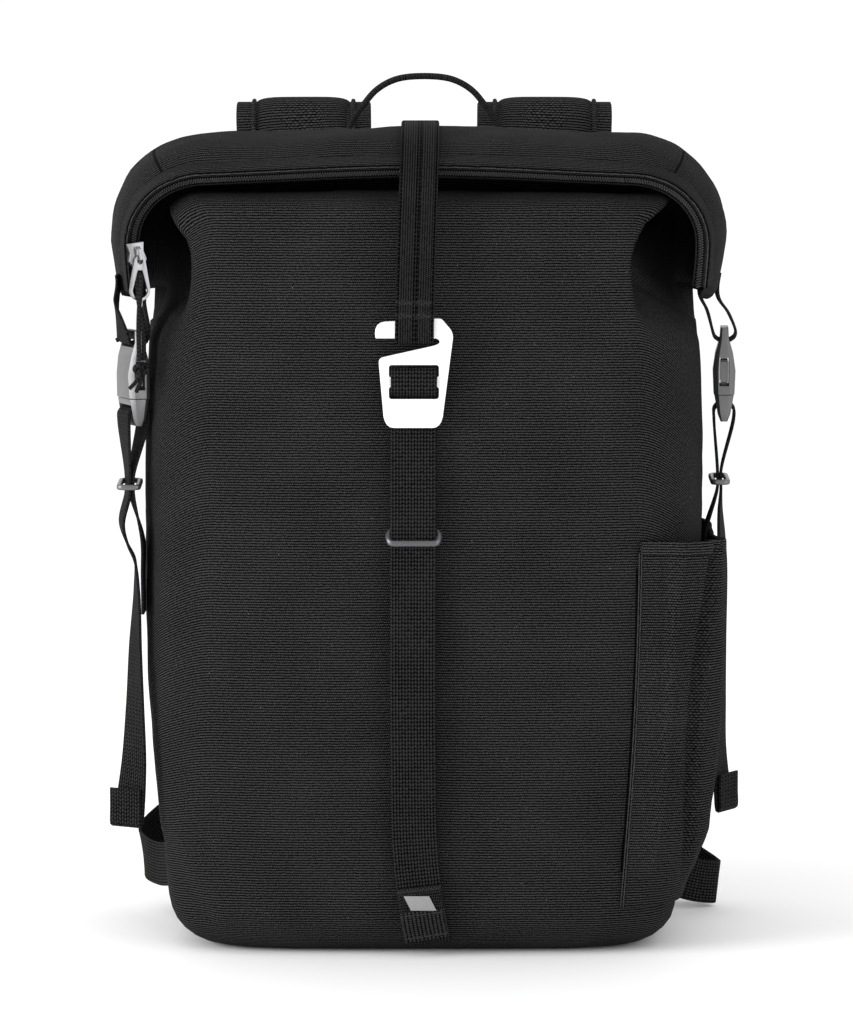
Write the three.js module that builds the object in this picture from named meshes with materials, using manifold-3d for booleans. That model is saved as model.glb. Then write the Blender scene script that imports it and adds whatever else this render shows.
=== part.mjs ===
// A rolltop backpack that stands on its base, in millimetres. +Z is up, the front faces -Y, and the
// origin is the middle of the flat base. The mouth of the bag is pressed flat, rolled forward once and
// pulled down at both ends by side straps, and a centre strap with a hook holds the roll to the front.
import * as THREE from "three";
import Module from "manifold-3d";

const wasm = await Module();
wasm.setup();

// Cloth, webbing and the gaps between sewn pieces
const cloth = 2; // wall of the bag and the pocket
const seat = 0.4; // gap between two pieces that lie on each other
const webbing = 1.6; // thickness of every strap

// Bag
const bodyWidth = 308;
const bodyDepth = 180;
const baseRadius = 26; // round of the edge between base and walls
const frontShoulder = 405; // height where each wall starts to turn towards the mouth
const backShoulder = 402;
const sideShoulder = 346;
const squareness = 5; // exponent of the outline seen from above, where 2 is an ellipse

// Roll: the flattened mouth, seen from the front as an arch and from the side as a hook
const rollTop = 451.5; // height of its crease
const rollDepth = 92; // from the crease forward to the zip
const rollHeight = 32; // from the neck up to the crease
const rollEndHeight = 0.55; // share of that height left at each end
const rollBack = 24; // how far the crease lies behind the middle
const bendRadius = 51; // the arch turns down at both ends with this radius
const bendAngle = THREE.MathUtils.degToRad(98);
const halfMouth = 233; // from its middle to an end, a little more than a quarter of the girth
const rollSpan = 168.5; // from the middle to the outermost place of each end
const rollSag = 5; // its ends start to bend this much below its middle
const rollShift = -3.5; // the roll lies a little to the left
const mouthGap = 1; // slit between the two cloth layers of the roll
const tuck = 40; // how hard the side gussets are pulled in under the roll
const pinch = 28; // how far the front corners are drawn in under the ends of the roll
const pinchFoot = 335;

// Zip
const zipWidth = 10;
const zipThickness = 1;
const coilWidth = 3;
const coilThickness = 1.4;
const zipInset = 6; // the zip ends this far from each end of the mouth
const sliderWidth = 10;
const sliderLength = 13;
const sliderThickness = 5;
const sliderLift = 1.8; // from the tape to the slider's plate
const bailRise = 4.2;
const bailWire = 1.5;
const sliderPlace = 0.9; // share of the half mouth, on the left
const bailReach = 4.4; // half the length of the bail on its back
const pullerEye = 3.4; // inner width of the puller's upper eye
const pullerLength = 25;
const pullerWidth = 12;
const pullerWire = 1.6;
const pullCord = 2.6; // diameter
const knotSize = 10;

// Centre strap and its hook
const strapWidth = 25;
const overStrapWidth = 21;
const overStrapThickness = 2.4;
const hookWidth = 42;
const hookHeight = 59;
const hookThickness = 4;
const hookFoot = 293.5; // height of the hook's lower edge
const windowWidth = 27;
const windowHeight = 18.5;
const windowFoot = 15.5; // above the hook's lower edge
const hookBar = 5; // bar across the window
const hookStandOff = 5.5; // from the bag's front to the back of the hook
const keeperHeight = 234; // middle of the front keeper
const keeperBand = 2.6; // thickness of a keeper's metal
const frontKeeperTall = 8.5;
const tailEnd = 35; // height where the tail of the front strap stops
const tabLength = 27;
const patchWidth = 14;
const patchHeight = 8;
const strapFoot = 7; // height of the sewn end of the front strap

// Side straps and buckles
const sideStrapWidth = 20;
const loopPlace = { 1: -30, "-1": -51 }; // where the loops at the roll's ends lie, front to back
const strapPlace = { 1: -30, "-1": -60 }; // where the side straps lie, front to back
const loopSeam = 14; // the roll's loop is sewn over this much of the roll
const loopDrop = 20; // from the roll's end to the buckle's upper bar
const loopInner = { 1: 8, "-1": 14 }; // from the middle of the roll to the loop's inner layer
const hangOut = { 1: 8.5, "-1": -5.5 }; // how far each buckle hangs outward of the roll's end
const buckleLength = 52;
const buckleWidth = 27;
const buckleThickness = 12.5;
const socketShare = 0.66; // share of the buckle's length that is the socket
const anchorHeight = 232; // upper end of the seam that holds each side strap
const sideKeeperHeight = 259;
const sideKeeperTall = 5;
const hemLength = 20; // folded end of a side tail

// Side pocket
const pocketTop = 230;
const pocketFoot = 27;
const pocketCloth = 1.4;
const pocketBulge = 5.2; // room between it and the side of the bag
const pocketCorner = 9; // more room at the corner
const pocketFrontShare = 0.53; // its front and back seams, as shares of a quarter of the girth
const pocketBackShare = 0.8;

// Shoulder straps and handle
const padWidth = 58;
const padThickness = 11;
const wingWidth = 10;
const wingThickness = 3;
const padSpread = 70; // from the middle of the bag to the middle of a strap
const padReach = 44; // how far a strap bows out behind the bag
const padTop = 470;
const padFoot = 165;
const adjusterWidth = 32;
const adjusterHeight = 22;
const adjusterThickness = 4;
const lowerAnchorHeight = 34;
const handleSpan = 92;
const handleTop = 482.5;
const handleWidth = 13;
const handleThickness = 3.6;

const BLACK = 0x232325;
const GREY = 0x85868a;
const SILVER = 0xf2f2f2;

const { lerp, smoothstep, degToRad } = THREE.MathUtils;
const at = (x, y, z) => new THREE.Vector3(x, y, z);

// Shares of a quarter of the girth, from the middle of the front or back to the middle of a side.
const COLUMN_SHARES = [0, 0.19, 0.35, 0.48, 0.53, 0.59, 0.65, 0.71, 0.77, 0.83, 0.89, 0.95, 1];

// Walls below the shoulder, with heights as shares of the shoulder and the rest as shares of the half
// width and half depth.
const WALL_ROWS = [
  { height: 0, width: 0.91, front: 0.93, back: 0.95 },
  { height: 0.14, width: 0.945, front: 0.96, back: 0.97 },
  { height: 0.3, width: 0.98, front: 1, back: 0.98 },
  { height: 0.48, width: 1, front: 1.03, back: 0.98 },
  { height: 0.68, width: 1.005, front: 1.03, back: 0.98 },
  { height: 0.86, width: 1, front: 1, back: 0.98 },
  { height: 1, width: 0.985, front: 0.9, back: 0.97 },
];

// The roll seen from the side, from the neck over the crease to the zip, as shares of its depth and height.
const FOLD_ROWS = [
  { forward: 0.05, down: 1 },
  { forward: 0, down: 0.52 },
  { forward: 0.09, down: 0.14 },
  { forward: 0.31, down: 0 },
  { forward: 0.6, down: 0.05 },
  { forward: 0.84, down: 0.24 },
  { forward: 1, down: 0.62 },
];

// A smooth value of one column of a table between its rows.
function between(rows, key, column, value) {
  const last = rows.length - 1;
  let i = rows.findIndex((row) => row[key] > value) - 1;
  i = i < 0 ? (value < rows[0][key] ? 0 : last - 1) : i;
  const t = THREE.MathUtils.clamp((value - rows[i][key]) / (rows[i + 1][key] - rows[i][key]), 0, 1);
  const slope = (k) => {
    const [a, b] = [rows[Math.max(k - 1, 0)], rows[Math.min(k + 1, last)]];
    return (b[column] - a[column]) / (b[key] - a[key]);
  };
  const span = rows[i + 1][key] - rows[i][key];
  const [p, q] = [rows[i][column], rows[i + 1][column]];
  const [s, e] = [slope(i) * span, slope(i + 1) * span];
  return p + t * (s + t * (3 * (q - p) - 2 * s - e + t * (2 * (p - q) + s + e)));
}

// A closed geometry whose faces point out, from its corners and its triangles.
function closedGeometry(corners, triangles) {
  const sixfold = triangles.reduce(
    (sum, [a, b, c]) => sum + corners[a].dot(at(0, 0, 0).crossVectors(corners[b], corners[c])),
    0,
  );
  const faces = sixfold < 0 ? triangles.map(([a, b, c]) => [a, c, b]) : triangles;
  const geometry = new THREE.BufferGeometry().setFromPoints(corners);
  geometry.setIndex(faces.flat());
  return geometry;
}

// A solid whose rings all have the same number of corners, closed by a cap at each end. Its two broad faces
// share their diagonals, so that a thin strap stays thin where it twists.
function loft(rings) {
  const n = rings[0].length;
  const corners = rings.flat();
  const triangles = [];
  for (let j = 0; j + 1 < rings.length; j++) {
    for (let i = 0; i < n; i++) {
      const [a, b] = [j * n + i, j * n + ((i + 1) % n)];
      if (i < n / 2) triangles.push([a, b, b + n], [a, b + n, a + n]);
      else triangles.push([a, b, a + n], [b, b + n, a + n]);
    }
  }
  const caps = (ring, first, turned) => {
    const normal = at(0, 0, 0);
    ring.forEach((p, i) => normal.add(at(0, 0, 0).crossVectors(p, ring[(i + 1) % n])));
    normal.normalize();
    const side = at(0, 0, 0).subVectors(ring[1], ring[0]).normalize();
    const other = at(0, 0, 0).crossVectors(normal, side);
    const flat = ring.map((p) => new THREE.Vector2(p.dot(side), p.dot(other)));
    for (const [a, b, c] of THREE.ShapeUtils.triangulateShape(flat, [])) {
      triangles.push(turned ? [first + a, first + c, first + b] : [first + a, first + b, first + c]);
    }
  };
  caps(rings[0], 0, true);
  caps(rings[rings.length - 1], (rings.length - 1) * n, false);
  return closedGeometry(corners, triangles);
}

// Frames along a path: where it is, its across direction and the direction that its outer face looks.
function framesAlong(points, acrossAt) {
  return points.map((point, i) => {
    const before = points[Math.max(i - 1, 0)];
    const after = points[Math.min(i + 1, points.length - 1)];
    const along = at(0, 0, 0).subVectors(after, before).normalize();
    const out = at(0, 0, 0).crossVectors(acrossAt(i, point), along).normalize();
    return { point, out, across: at(0, 0, 0).crossVectors(along, out).normalize() };
  });
}

// A flat section swept along frames. A section point is [across, out].
function sweep(frames, sectionAt) {
  return loft(
    frames.map((frame, i) =>
      sectionAt(i, frames.length - 1).map(([a, o]) =>
        frame.point.clone().addScaledVector(frame.across, a).addScaledVector(frame.out, o),
      ),
    ),
  );
}

const flatSection = (width, thickness) => () => [
  [-width / 2, -thickness / 2],
  [width / 2, -thickness / 2],
  [width / 2, thickness / 2],
  [-width / 2, thickness / 2],
];

const ribbon = (points, acrossAt, width, thickness) =>
  sweep(framesAlong(points, acrossAt), flatSection(width, thickness));

const smoothPath = (points, steps) => new THREE.CatmullRomCurve3(points, false, "centripetal").getPoints(steps);

// Joining and cutting
function toSolid(geometry) {
  const flat = geometry.index ? geometry.toNonIndexed() : geometry;
  const position = flat.getAttribute("position");
  const found = new Map();
  const corners = [];
  const triVerts = new Uint32Array(position.count);
  for (let i = 0; i < position.count; i++) {
    const p = [position.getX(i), position.getY(i), position.getZ(i)];
    const key = p.map((value) => Math.round(value * 1e4)).join();
    if (!found.has(key)) {
      found.set(key, found.size);
      corners.push(...p);
    }
    triVerts[i] = found.get(key);
  }
  return new wasm.Manifold(
    new wasm.Mesh({ numProp: 3, vertProperties: new Float32Array(corners), triVerts }),
  );
}

function fromSolid(solid) {
  const mesh = solid.getMesh();
  const geometry = new THREE.BufferGeometry();
  geometry.setAttribute("position", new THREE.BufferAttribute(mesh.vertProperties.slice(), 3));
  return geometry.setIndex([...mesh.triVerts]);
}

const joined = (first, ...rest) =>
  fromSolid(rest.reduce((solid, geometry) => solid.add(toSolid(geometry)), toSolid(first)));

const cutBy = (first, ...rest) =>
  fromSolid(rest.reduce((solid, geometry) => solid.subtract(toSolid(geometry)), toSolid(first)));

// A rectangle with round corners, as a shape or a hole.
function roundRectangle(path, left, bottom, width, height, radius) {
  path.moveTo(left + radius, bottom);
  path.lineTo(left + width - radius, bottom);
  path.absarc(left + width - radius, bottom + radius, radius, -Math.PI / 2, 0);
  path.lineTo(left + width, bottom + height - radius);
  path.absarc(left + width - radius, bottom + height - radius, radius, 0, Math.PI / 2);
  path.lineTo(left + radius, bottom + height);
  path.absarc(left + radius, bottom + height - radius, radius, Math.PI / 2, Math.PI);
  path.lineTo(left, bottom + radius);
  path.absarc(left + radius, bottom + radius, radius, Math.PI, 1.5 * Math.PI);
  return path;
}

// A plate of an outline and its holes, without doubled corners.
function plate(shape, depth, curveSegments = 4) {
  const found = shape.extractPoints(curveSegments);
  const single = (points) => points.filter((p, i) => p.distanceTo(points[(i + 1) % points.length]) > 0.01);
  const rim = single(found.shape);
  const outline = new THREE.Shape(THREE.ShapeUtils.isClockWise(rim) ? rim.reverse() : rim);
  outline.holes = found.holes.map((hole) => new THREE.Path(single(hole)));
  return new THREE.ExtrudeGeometry(outline, { depth, bevelEnabled: false });
}

// Bag shell

// A point of a quarter outline, from the middle of the front or back (turn 0) to the side (turn 90 degrees).
function quarterPoint(halfWidth, halfDepth, turn) {
  const power = 2 / squareness;
  return [
    halfWidth * Math.pow(Math.max(Math.sin(turn), 0), power),
    halfDepth * Math.pow(Math.max(Math.cos(turn), 0), power),
  ];
}

// The turn for each share, so that equal shares are equal lengths of cloth.
function measureQuarter() {
  const steps = 4000;
  const lengths = [0];
  const turnOf = (i) => Math.pow(i / steps, squareness / 2) * (Math.PI / 4);
  const turns = [];
  for (let i = 0; i <= steps; i++) turns.push(turnOf(i));
  for (let i = steps - 1; i >= 0; i--) turns.push(Math.PI / 2 - turnOf(i));
  for (let i = 1; i < turns.length; i++) {
    const [x0, y0] = quarterPoint(bodyWidth / 2, bodyDepth / 2, turns[i - 1]);
    const [x1, y1] = quarterPoint(bodyWidth / 2, bodyDepth / 2, turns[i]);
    lengths.push(lengths[i - 1] + Math.hypot(x1 - x0, y1 - y0));
  }
  const total = lengths[lengths.length - 1];
  const turnAt = (share) => turns[Math.max(0, lengths.findIndex((length) => length >= share * total - 1e-9))];
  return turnAt;
}

const turnAt = measureQuarter();
const flatHalf = rollSpan - bendRadius;

// The arch of the roll's crease, seen from the front, at a length s from the middle. Past its end it goes
// straight on. The normal points out of the arch.
function spine(s, sign) {
  const bend = THREE.MathUtils.clamp((s - flatHalf) / bendRadius, 0, bendAngle);
  const beyond = Math.max(0, s - flatHalf - bendRadius * bendAngle);
  const sag = rollSag * smoothstep(s, 0, flatHalf * 1.3);
  return {
    x: rollShift + sign * (Math.min(s, flatHalf) + bendRadius * Math.sin(bend) + beyond * Math.cos(bend)),
    z: rollTop - sag - bendRadius * (1 - Math.cos(bend)) - beyond * Math.sin(bend),
    normal: at(sign * Math.sin(bend), 0, Math.cos(bend)),
    along: at(sign * Math.cos(bend), 0, -Math.sin(bend)),
  };
}

const foldCurve = new THREE.CatmullRomCurve3(
  FOLD_ROWS.map((row) => at(0, rollBack - row.forward * rollDepth, -row.down * rollHeight)),
  false,
  "centripetal",
);

const endScale = (s) => lerp(1, rollEndHeight, smoothstep(s, flatHalf, halfMouth));

// A point of the roll: s along the mouth, w from the neck (0) to the zip (1), and lift off the middle
// between its two cloth layers, where a positive lift is on the back layer, which is the outer one.
function rollPoint(s, sign, w, lift) {
  const place = spine(s, sign);
  const fold = foldCurve.getPointAt(w);
  const tangent = foldCurve.getTangentAt(w);
  const [y, h] = [fold.y + lift * tangent.z, endScale(s) * fold.z - lift * tangent.y];
  return at(place.x, y, place.z).addScaledVector(place.normal, h);
}

// The direction in which the roll runs at w: towards the zip.
function rollDirection(s, sign, w) {
  const place = spine(s, sign);
  const tangent = foldCurve.getTangentAt(w);
  return at(0, tangent.y, 0).addScaledVector(place.normal, endScale(s) * tangent.z).normalize();
}

const rollHalfThickness = cloth + mouthGap / 2;

// How much of a side gusset a column is: 1 in the middle of a side, 0 on the front and back.
const gusset = (share, face) => (face < 0 ? smoothstep(share, 0.52, 0.86) : smoothstep(share, 0.74, 0.98));

// A point of a wall at a height below the shoulder. face is -1 on the front and 1 on the back.
function wallPoint(share, sign, face, z, shoulder) {
  const level = z / shoulder;
  const width = (between(WALL_ROWS, "height", "width", level) * bodyWidth) / 2;
  const depth = (between(WALL_ROWS, "height", face < 0 ? "front" : "back", level) * bodyDepth) / 2;
  const rise = Math.min(z, baseRadius);
  const inset = baseRadius - Math.sqrt(baseRadius ** 2 - (baseRadius - rise) ** 2);
  const [x, y] = quarterPoint(width - inset, depth - inset, turnAt(share));
  const drawn = face < 0 ? pinch : 0;
  const inward = drawn * smoothstep(z, pinchFoot, rollTop - 50) * smoothstep(share, 0.35, 0.56) * (1 - smoothstep(share, 0.7, 0.92));
  return at(sign * (x - inward), face * y, z);
}

const shoulderOf = (share, face) =>
  lerp(face < 0 ? frontShoulder : backShoulder, sideShoulder, gusset(share, face));

// The stretch between shoulder and neck, a cubic curve that leaves the wall upwards and enters the roll along it.
function shoulderPoint(share, sign, face, t) {
  const shoulder = shoulderOf(share, face);
  const from = wallPoint(share, sign, face, shoulder, shoulder);
  const lift = share === 1 ? 0 : face * rollHalfThickness;
  const to = rollPoint(share * halfMouth, sign, 0, lift);
  const side = gusset(share, face);
  const rise = face < 0 ? 90 : 1.5 * (rollTop - rollHeight - shoulder);
  const leave = at(-sign * tuck * side, 0, lerp(rise, 0.75 * tuck, side));
  const enter = rollDirection(share * halfMouth, sign, 0).multiplyScalar(lerp(rollHeight * 1.3, tuck, side));
  const [t2, t3] = [t * t, t * t * t];
  return from
    .multiplyScalar(2 * t3 - 3 * t2 + 1)
    .addScaledVector(leave, t3 - 2 * t2 + t)
    .addScaledVector(to, 3 * t2 - 2 * t3)
    .addScaledVector(enter, t3 - t2);
}

// The rows of the shell from the edge of the flat base to the zip. Each makes a point of a column.
const ROUND_STEPS = 3;
const SHOULDER_STEPS = 7;
const FOLD_STEPS = 8;
const rowMakers = [];
for (let k = 0; k <= ROUND_STEPS; k++) {
  const z = baseRadius * (1 - Math.cos((k / ROUND_STEPS) * (Math.PI / 2)));
  rowMakers.push(({ share, sign, face }) => wallPoint(share, sign, face, z, shoulderOf(share, face)));
}
for (const { height } of WALL_ROWS.slice(1)) {
  rowMakers.push(({ share, sign, face }) => {
    const shoulder = shoulderOf(share, face);
    return wallPoint(share, sign, face, height * shoulder, shoulder);
  });
}
for (let k = 1; k <= SHOULDER_STEPS; k++) {
  rowMakers.push(({ share, sign, face }) => shoulderPoint(share, sign, face, k / SHOULDER_STEPS));
}
for (let k = 1; k <= FOLD_STEPS; k++) {
  rowMakers.push(({ share, sign, face }) =>
    rollPoint(share * halfMouth, sign, k / FOLD_STEPS, share === 1 ? 0 : face * rollHalfThickness),
  );
}

// Columns all the way round: from the front's middle over the right side, the back and the left side.
const columns = [
  ...COLUMN_SHARES.map((share) => ({ share, sign: 1, face: -1 })),
  ...COLUMN_SHARES.slice(0, -1).reverse().map((share) => ({ share, sign: 1, face: 1 })),
  ...COLUMN_SHARES.slice(1).map((share) => ({ share, sign: -1, face: 1 })),
  ...COLUMN_SHARES.slice(1, -1).reverse().map((share) => ({ share, sign: -1, face: -1 })),
];

const shellRows = rowMakers.map((make) => columns.map(make));

// The outward direction of the shell at a row and column.
function shellNormal(j, i) {
  const n = columns.length;
  const row = shellRows[j];
  const up = at(0, 0, 0).subVectors(
    shellRows[Math.min(j + 1, shellRows.length - 1)][i],
    shellRows[Math.max(j - 1, 0)][i],
  );
  const round = at(0, 0, 0).subVectors(row[(i + 1) % n], row[(i + n - 1) % n]);
  const normal = at(0, 0, 0).crossVectors(round, up).normalize();
  return j === 0 ? at(0, 0, -1) : normal;
}

function bagShell() {
  const [n, last] = [columns.length, shellRows.length - 1];
  const inner = shellRows.map((row, j) => row.map((p, i) => p.clone().addScaledVector(shellNormal(j, i), -cloth)));
  const corners = [...shellRows.flat(), ...inner.flat()];
  const within = shellRows.length * n; // number of the first inner corner
  const triangles = [];
  const quad = (a, b, c, d) => triangles.push([a, b, c], [a, c, d]);
  for (let j = 0; j < last; j++) {
    for (let i = 0; i < n; i++) {
      const [a, b] = [j * n + i, j * n + ((i + 1) % n)];
      quad(a, b, b + n, a + n);
      quad(within + b, within + a, within + a + n, within + b + n);
    }
  }
  for (let i = 0; i < n; i++) {
    const [a, b] = [last * n + i, last * n + ((i + 1) % n)];
    quad(a, b, within + b, within + a);
  }
  for (let k = 0; k < n / 2; k++) {
    const [a, b, c, d] = [k, k + 1, n - k - 1, (n - k) % n];
    if (b !== c) triangles.push([a, c, b], [within + a, within + b, within + c]);
    if (a !== d) triangles.push([a, d, c], [within + a, within + c, within + d]);
  }
  return closedGeometry(corners, triangles);
}

// Where the bag's front, back and sides are at a height, in the middle of each.
function wallAt(columnIndex, axis, z) {
  let best = shellRows[0][columnIndex];
  for (let j = 1; j < shellRows.length; j++) {
    const [p, q] = [shellRows[j - 1][columnIndex], shellRows[j][columnIndex]];
    if (q.z >= z) return lerp(p[axis], q[axis], (z - p.z) / (q.z - p.z));
    best = q;
  }
  return best[axis];
}
const BACK_COLUMN = 2 * (COLUMN_SHARES.length - 1);
const frontAt = (z) => wallAt(0, "y", z);
const backAt = (z) => wallAt(BACK_COLUMN, "y", z);

// How far the side of the bag stands out at a place front to back and a height below the shoulders.
function sideAt(y, z) {
  const level = z / sideShoulder;
  const width = (between(WALL_ROWS, "height", "width", level) * bodyWidth) / 2;
  const depth = (between(WALL_ROWS, "height", y < 0 ? "front" : "back", level) * bodyDepth) / 2;
  return width * Math.pow(1 - Math.pow(Math.abs(y) / depth, squareness), 1 / squareness);
}

// Zip along the mouth, with a step at each column of the shell
const zipShares = [...COLUMN_SHARES.slice(0, -1), 1 - zipInset / halfMouth];
const zipSteps = [
  ...zipShares.slice(1).reverse().map((share) => ({ s: share * halfMouth, sign: -1 })),
  ...zipShares.map((share) => ({ s: share * halfMouth, sign: 1 })),
];

// A strip that follows the mouth at a distance past the cloth's edge, square to the way the mouth looks.
function mouthStrip(past, width, thickness) {
  const points = zipSteps.map(({ s, sign }) =>
    rollPoint(s, sign, 1, 0).addScaledVector(rollDirection(s, sign, 1), past),
  );
  const across = (i) => {
    const { s, sign } = zipSteps[i];
    return at(0, 0, 0).subVectors(rollPoint(s, sign, 1, 1), rollPoint(s, sign, 1, -1));
  };
  return ribbon(points, across, width, thickness);
}

const tapeMiddle = 1.4 * seat + zipThickness / 2;
const coilMiddle = tapeMiddle + zipThickness / 2 + seat + coilThickness / 2;
const zipTape = () => mouthStrip(tapeMiddle, zipWidth, zipThickness);
const zipCoil = () => mouthStrip(coilMiddle, coilWidth, coilThickness);

// The slider's own frame: +Y down along the zip, +Z away from the tape.
function sliderFrame() {
  const s = sliderPlace * halfMouth;
  const look = rollDirection(s, -1, 1);
  const down = spine(s, -1).along;
  const across = at(0, 0, 0).crossVectors(down, look).normalize();
  const place = rollPoint(s, -1, 1, 0).addScaledVector(look, tapeMiddle + zipThickness / 2 + sliderLift);
  return new THREE.Matrix4().makeBasis(across, down, at(0, 0, 0).crossVectors(across, down)).setPosition(place);
}

// The slider straddles the coil: a wide plate with a channel for the coil, and a bail on top.
function zipSlider() {
  const outline = new THREE.Shape();
  outline.moveTo(-0.3 * sliderWidth, 0.5 * sliderLength);
  outline.lineTo(-0.5 * sliderWidth, 0.22 * sliderLength);
  outline.lineTo(-0.38 * sliderWidth, -0.12 * sliderLength);
  outline.lineTo(-0.46 * sliderWidth, -0.5 * sliderLength);
  outline.lineTo(0.46 * sliderWidth, -0.5 * sliderLength);
  outline.lineTo(0.38 * sliderWidth, -0.12 * sliderLength);
  outline.lineTo(0.5 * sliderWidth, 0.22 * sliderLength);
  outline.lineTo(0.3 * sliderWidth, 0.5 * sliderLength);
  const body = plate(outline, sliderThickness);
  const channelHeight = coilThickness + 4.5 * seat - sliderLift;
  const channel = new THREE.BoxGeometry(coilWidth + 6 * seat, 2 * sliderLength, 2 * channelHeight);
  const bail = new THREE.Shape();
  const [reach, wire] = [bailReach, bailWire];
  bail.moveTo(-reach, -0.1);
  bail.lineTo(-reach, bailRise - wire);
  bail.lineTo(-reach + wire, bailRise);
  bail.lineTo(reach - wire, bailRise);
  bail.lineTo(reach, bailRise - wire);
  bail.lineTo(reach, -0.1);
  bail.lineTo(reach - wire, -0.1);
  bail.lineTo(reach - wire, bailRise - wire);
  bail.lineTo(-reach + wire, bailRise - wire);
  bail.lineTo(-reach + wire, -0.1);
  const bow = plate(bail, bailWire).translate(0, 0, -bailWire / 2);
  bow.applyMatrix4(new THREE.Matrix4().makeBasis(at(0, 1, 0), at(0, 0, 1), at(1, 0, 0)));
  bow.translate(0, 0, sliderThickness);
  return joined(cutBy(body, channel), bow).applyMatrix4(sliderFrame());
}

// The puller hangs straight down from the bail's lower leg, facing as the slider does. In its own frame the
// origin is the middle of its eye, x is right and z is up.
function pullerFrame() {
  const slider = sliderFrame();
  const leg = at(0, bailReach - bailWire / 2, sliderThickness + (bailRise - bailWire) / 2).applyMatrix4(slider);
  const look = at(0, 0, 1).transformDirection(slider).setZ(0).normalize().negate();
  const right = at(0, 0, 0).crossVectors(look, at(0, 0, 1));
  return new THREE.Matrix4().makeBasis(right, look, at(0, 0, 1)).setPosition(leg);
}

function zipPuller() {
  const ring = new THREE.Shape();
  const [half, eye] = [pullerWidth / 2, pullerEye / 2 + pullerWire];
  const foot = -(pullerLength - half - eye);
  ring.moveTo(-eye, 0);
  ring.absarc(0, 0, eye, Math.PI, 0, true);
  ring.lineTo(half, foot);
  ring.absarc(0, foot, half, 0, Math.PI, true);
  const upper = new THREE.Path();
  upper.absarc(0, 0, pullerEye / 2, 0, 2 * Math.PI);
  const lower = new THREE.Path();
  const top = -(eye + pullerWire);
  lower.moveTo(-0.42 * eye, top);
  lower.lineTo(0.42 * eye, top);
  lower.lineTo(half - pullerWire, foot);
  lower.absarc(0, foot, half - pullerWire, 0, Math.PI, true);
  ring.holes.push(upper, lower);
  return plate(ring, pullerWire, 6)
    .translate(0, 0, -pullerWire / 2)
    .rotateX(Math.PI / 2)
    .applyMatrix4(pullerFrame());
}

// The pull cord: up through the puller's lower opening, over the web above it, and down behind. Its points are
// chosen by hand from the puller's eye: [right, behind, below].
const CORD_ROUTE = [
  [-1.6, -2.4, 54], [-1.9, -2.6, 46], [-2.1, -2.8, 37], [-1.9, -3.0, 28], [-1.2, -3.0, 20],
  [-0.4, -2.8, 13], [0, -2.2, 8.4], [0, 0, 6.9], [0, 2.2, 8.6], [0.1, 2.8, 14], [0.4, 2.8, 22],
  [1.2, 1.4, 29], [1.7, -0.4, 37], [1.8, -0.8, 46], [1.6, -1.0, 54],
];
const cordPoint = ([right, behind, below]) => at(right, behind, -below).applyMatrix4(pullerFrame());

function tube(points, diameter, steps) {
  const section = new THREE.Shape();
  section.absarc(0, 0, diameter / 2, 0, 2 * Math.PI);
  return new THREE.ExtrudeGeometry(section, {
    steps,
    curveSegments: 4,
    bevelEnabled: false,
    extrudePath: new THREE.CatmullRomCurve3(points, false, "centripetal"),
  });
}

const pullCordTube = () => tube(CORD_ROUTE.map(cordPoint), pullCord, 26);

function pullKnot() {
  const [, behind, below] = CORD_ROUTE[0];
  const middle = cordPoint([0, behind / 2, below + seat + knotSize / 2]);
  return new THREE.SphereGeometry(knotSize / 2, 10, 8)
    .rotateX(Math.PI / 2)
    .scale(1, 0.8, 1)
    .translate(...middle.toArray());
}

// Centre strap

// Sideways drift of the centre strap at a height, as it hangs in the photograph.
const DRIFT_ROWS = [
  { height: 0, drift: 4 },
  { height: 0.06, drift: -1 },
  { height: 0.16, drift: -5 },
  { height: 0.6, drift: -5.5 },
  { height: 0.78, drift: -5 },
  { height: 1, drift: -2 },
];
const driftAt = (z) => between(DRIFT_ROWS, "height", "drift", z / rollTop);
const hookBack = Math.min(frontAt(hookFoot), frontAt(hookFoot + hookHeight / 2)) - hookStandOff;
const hookFront = hookBack - hookThickness;
const hookDrift = driftAt(hookFoot + hookHeight / 2);
const armMiddle = hookFoot + 0.895 * hookHeight; // height of the middle of the hook's free arm
const armHalf = 0.075 * hookHeight;

function gHook() {
  const outline = new THREE.Shape();
  const place = (share, rise) => [share * hookWidth, rise * hookHeight];
  outline.moveTo(...place(-0.26, 0));
  outline.lineTo(...place(0.24, 0));
  outline.quadraticCurveTo(...place(0.34, 0.0), ...place(0.37, 0.1));
  outline.lineTo(...place(0.5, 0.82));
  outline.quadraticCurveTo(...place(0.505, 0.86), ...place(0.47, 0.9));
  outline.lineTo(...place(0.37, 0.985));
  outline.quadraticCurveTo(...place(0.35, 1), ...place(0.3, 1));
  outline.lineTo(...place(-0.38, 0.97));
  outline.quadraticCurveTo(...place(-0.5, 0.96), ...place(-0.5, 0.86));
  outline.lineTo(...place(-0.49, 0.82));
  outline.lineTo(...place(0.25, 0.82));
  outline.quadraticCurveTo(...place(0.33, 0.82), ...place(0.33, 0.785));
  outline.quadraticCurveTo(...place(0.33, 0.76), ...place(0.2, 0.742));
  outline.lineTo(...place(-0.4, 0.645));
  outline.quadraticCurveTo(...place(-0.455, 0.635), ...place(-0.45, 0.59));
  outline.lineTo(...place(-0.39, 0.1));
  outline.quadraticCurveTo(...place(-0.36, 0.0), ...place(-0.26, 0));
  const slot = (windowHeight - hookBar) / 2;
  for (const bottom of [windowFoot, windowFoot + windowHeight - slot]) {
    outline.holes.push(roundRectangle(new THREE.Path(), -windowWidth / 2, bottom, windowWidth, slot, 1.5));
  }
  return plate(outline, hookThickness, 4)
    .rotateX(Math.PI / 2)
    .translate(hookDrift, hookBack, hookFoot);
}

const acrossX = () => at(1, 0, 0);

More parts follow.
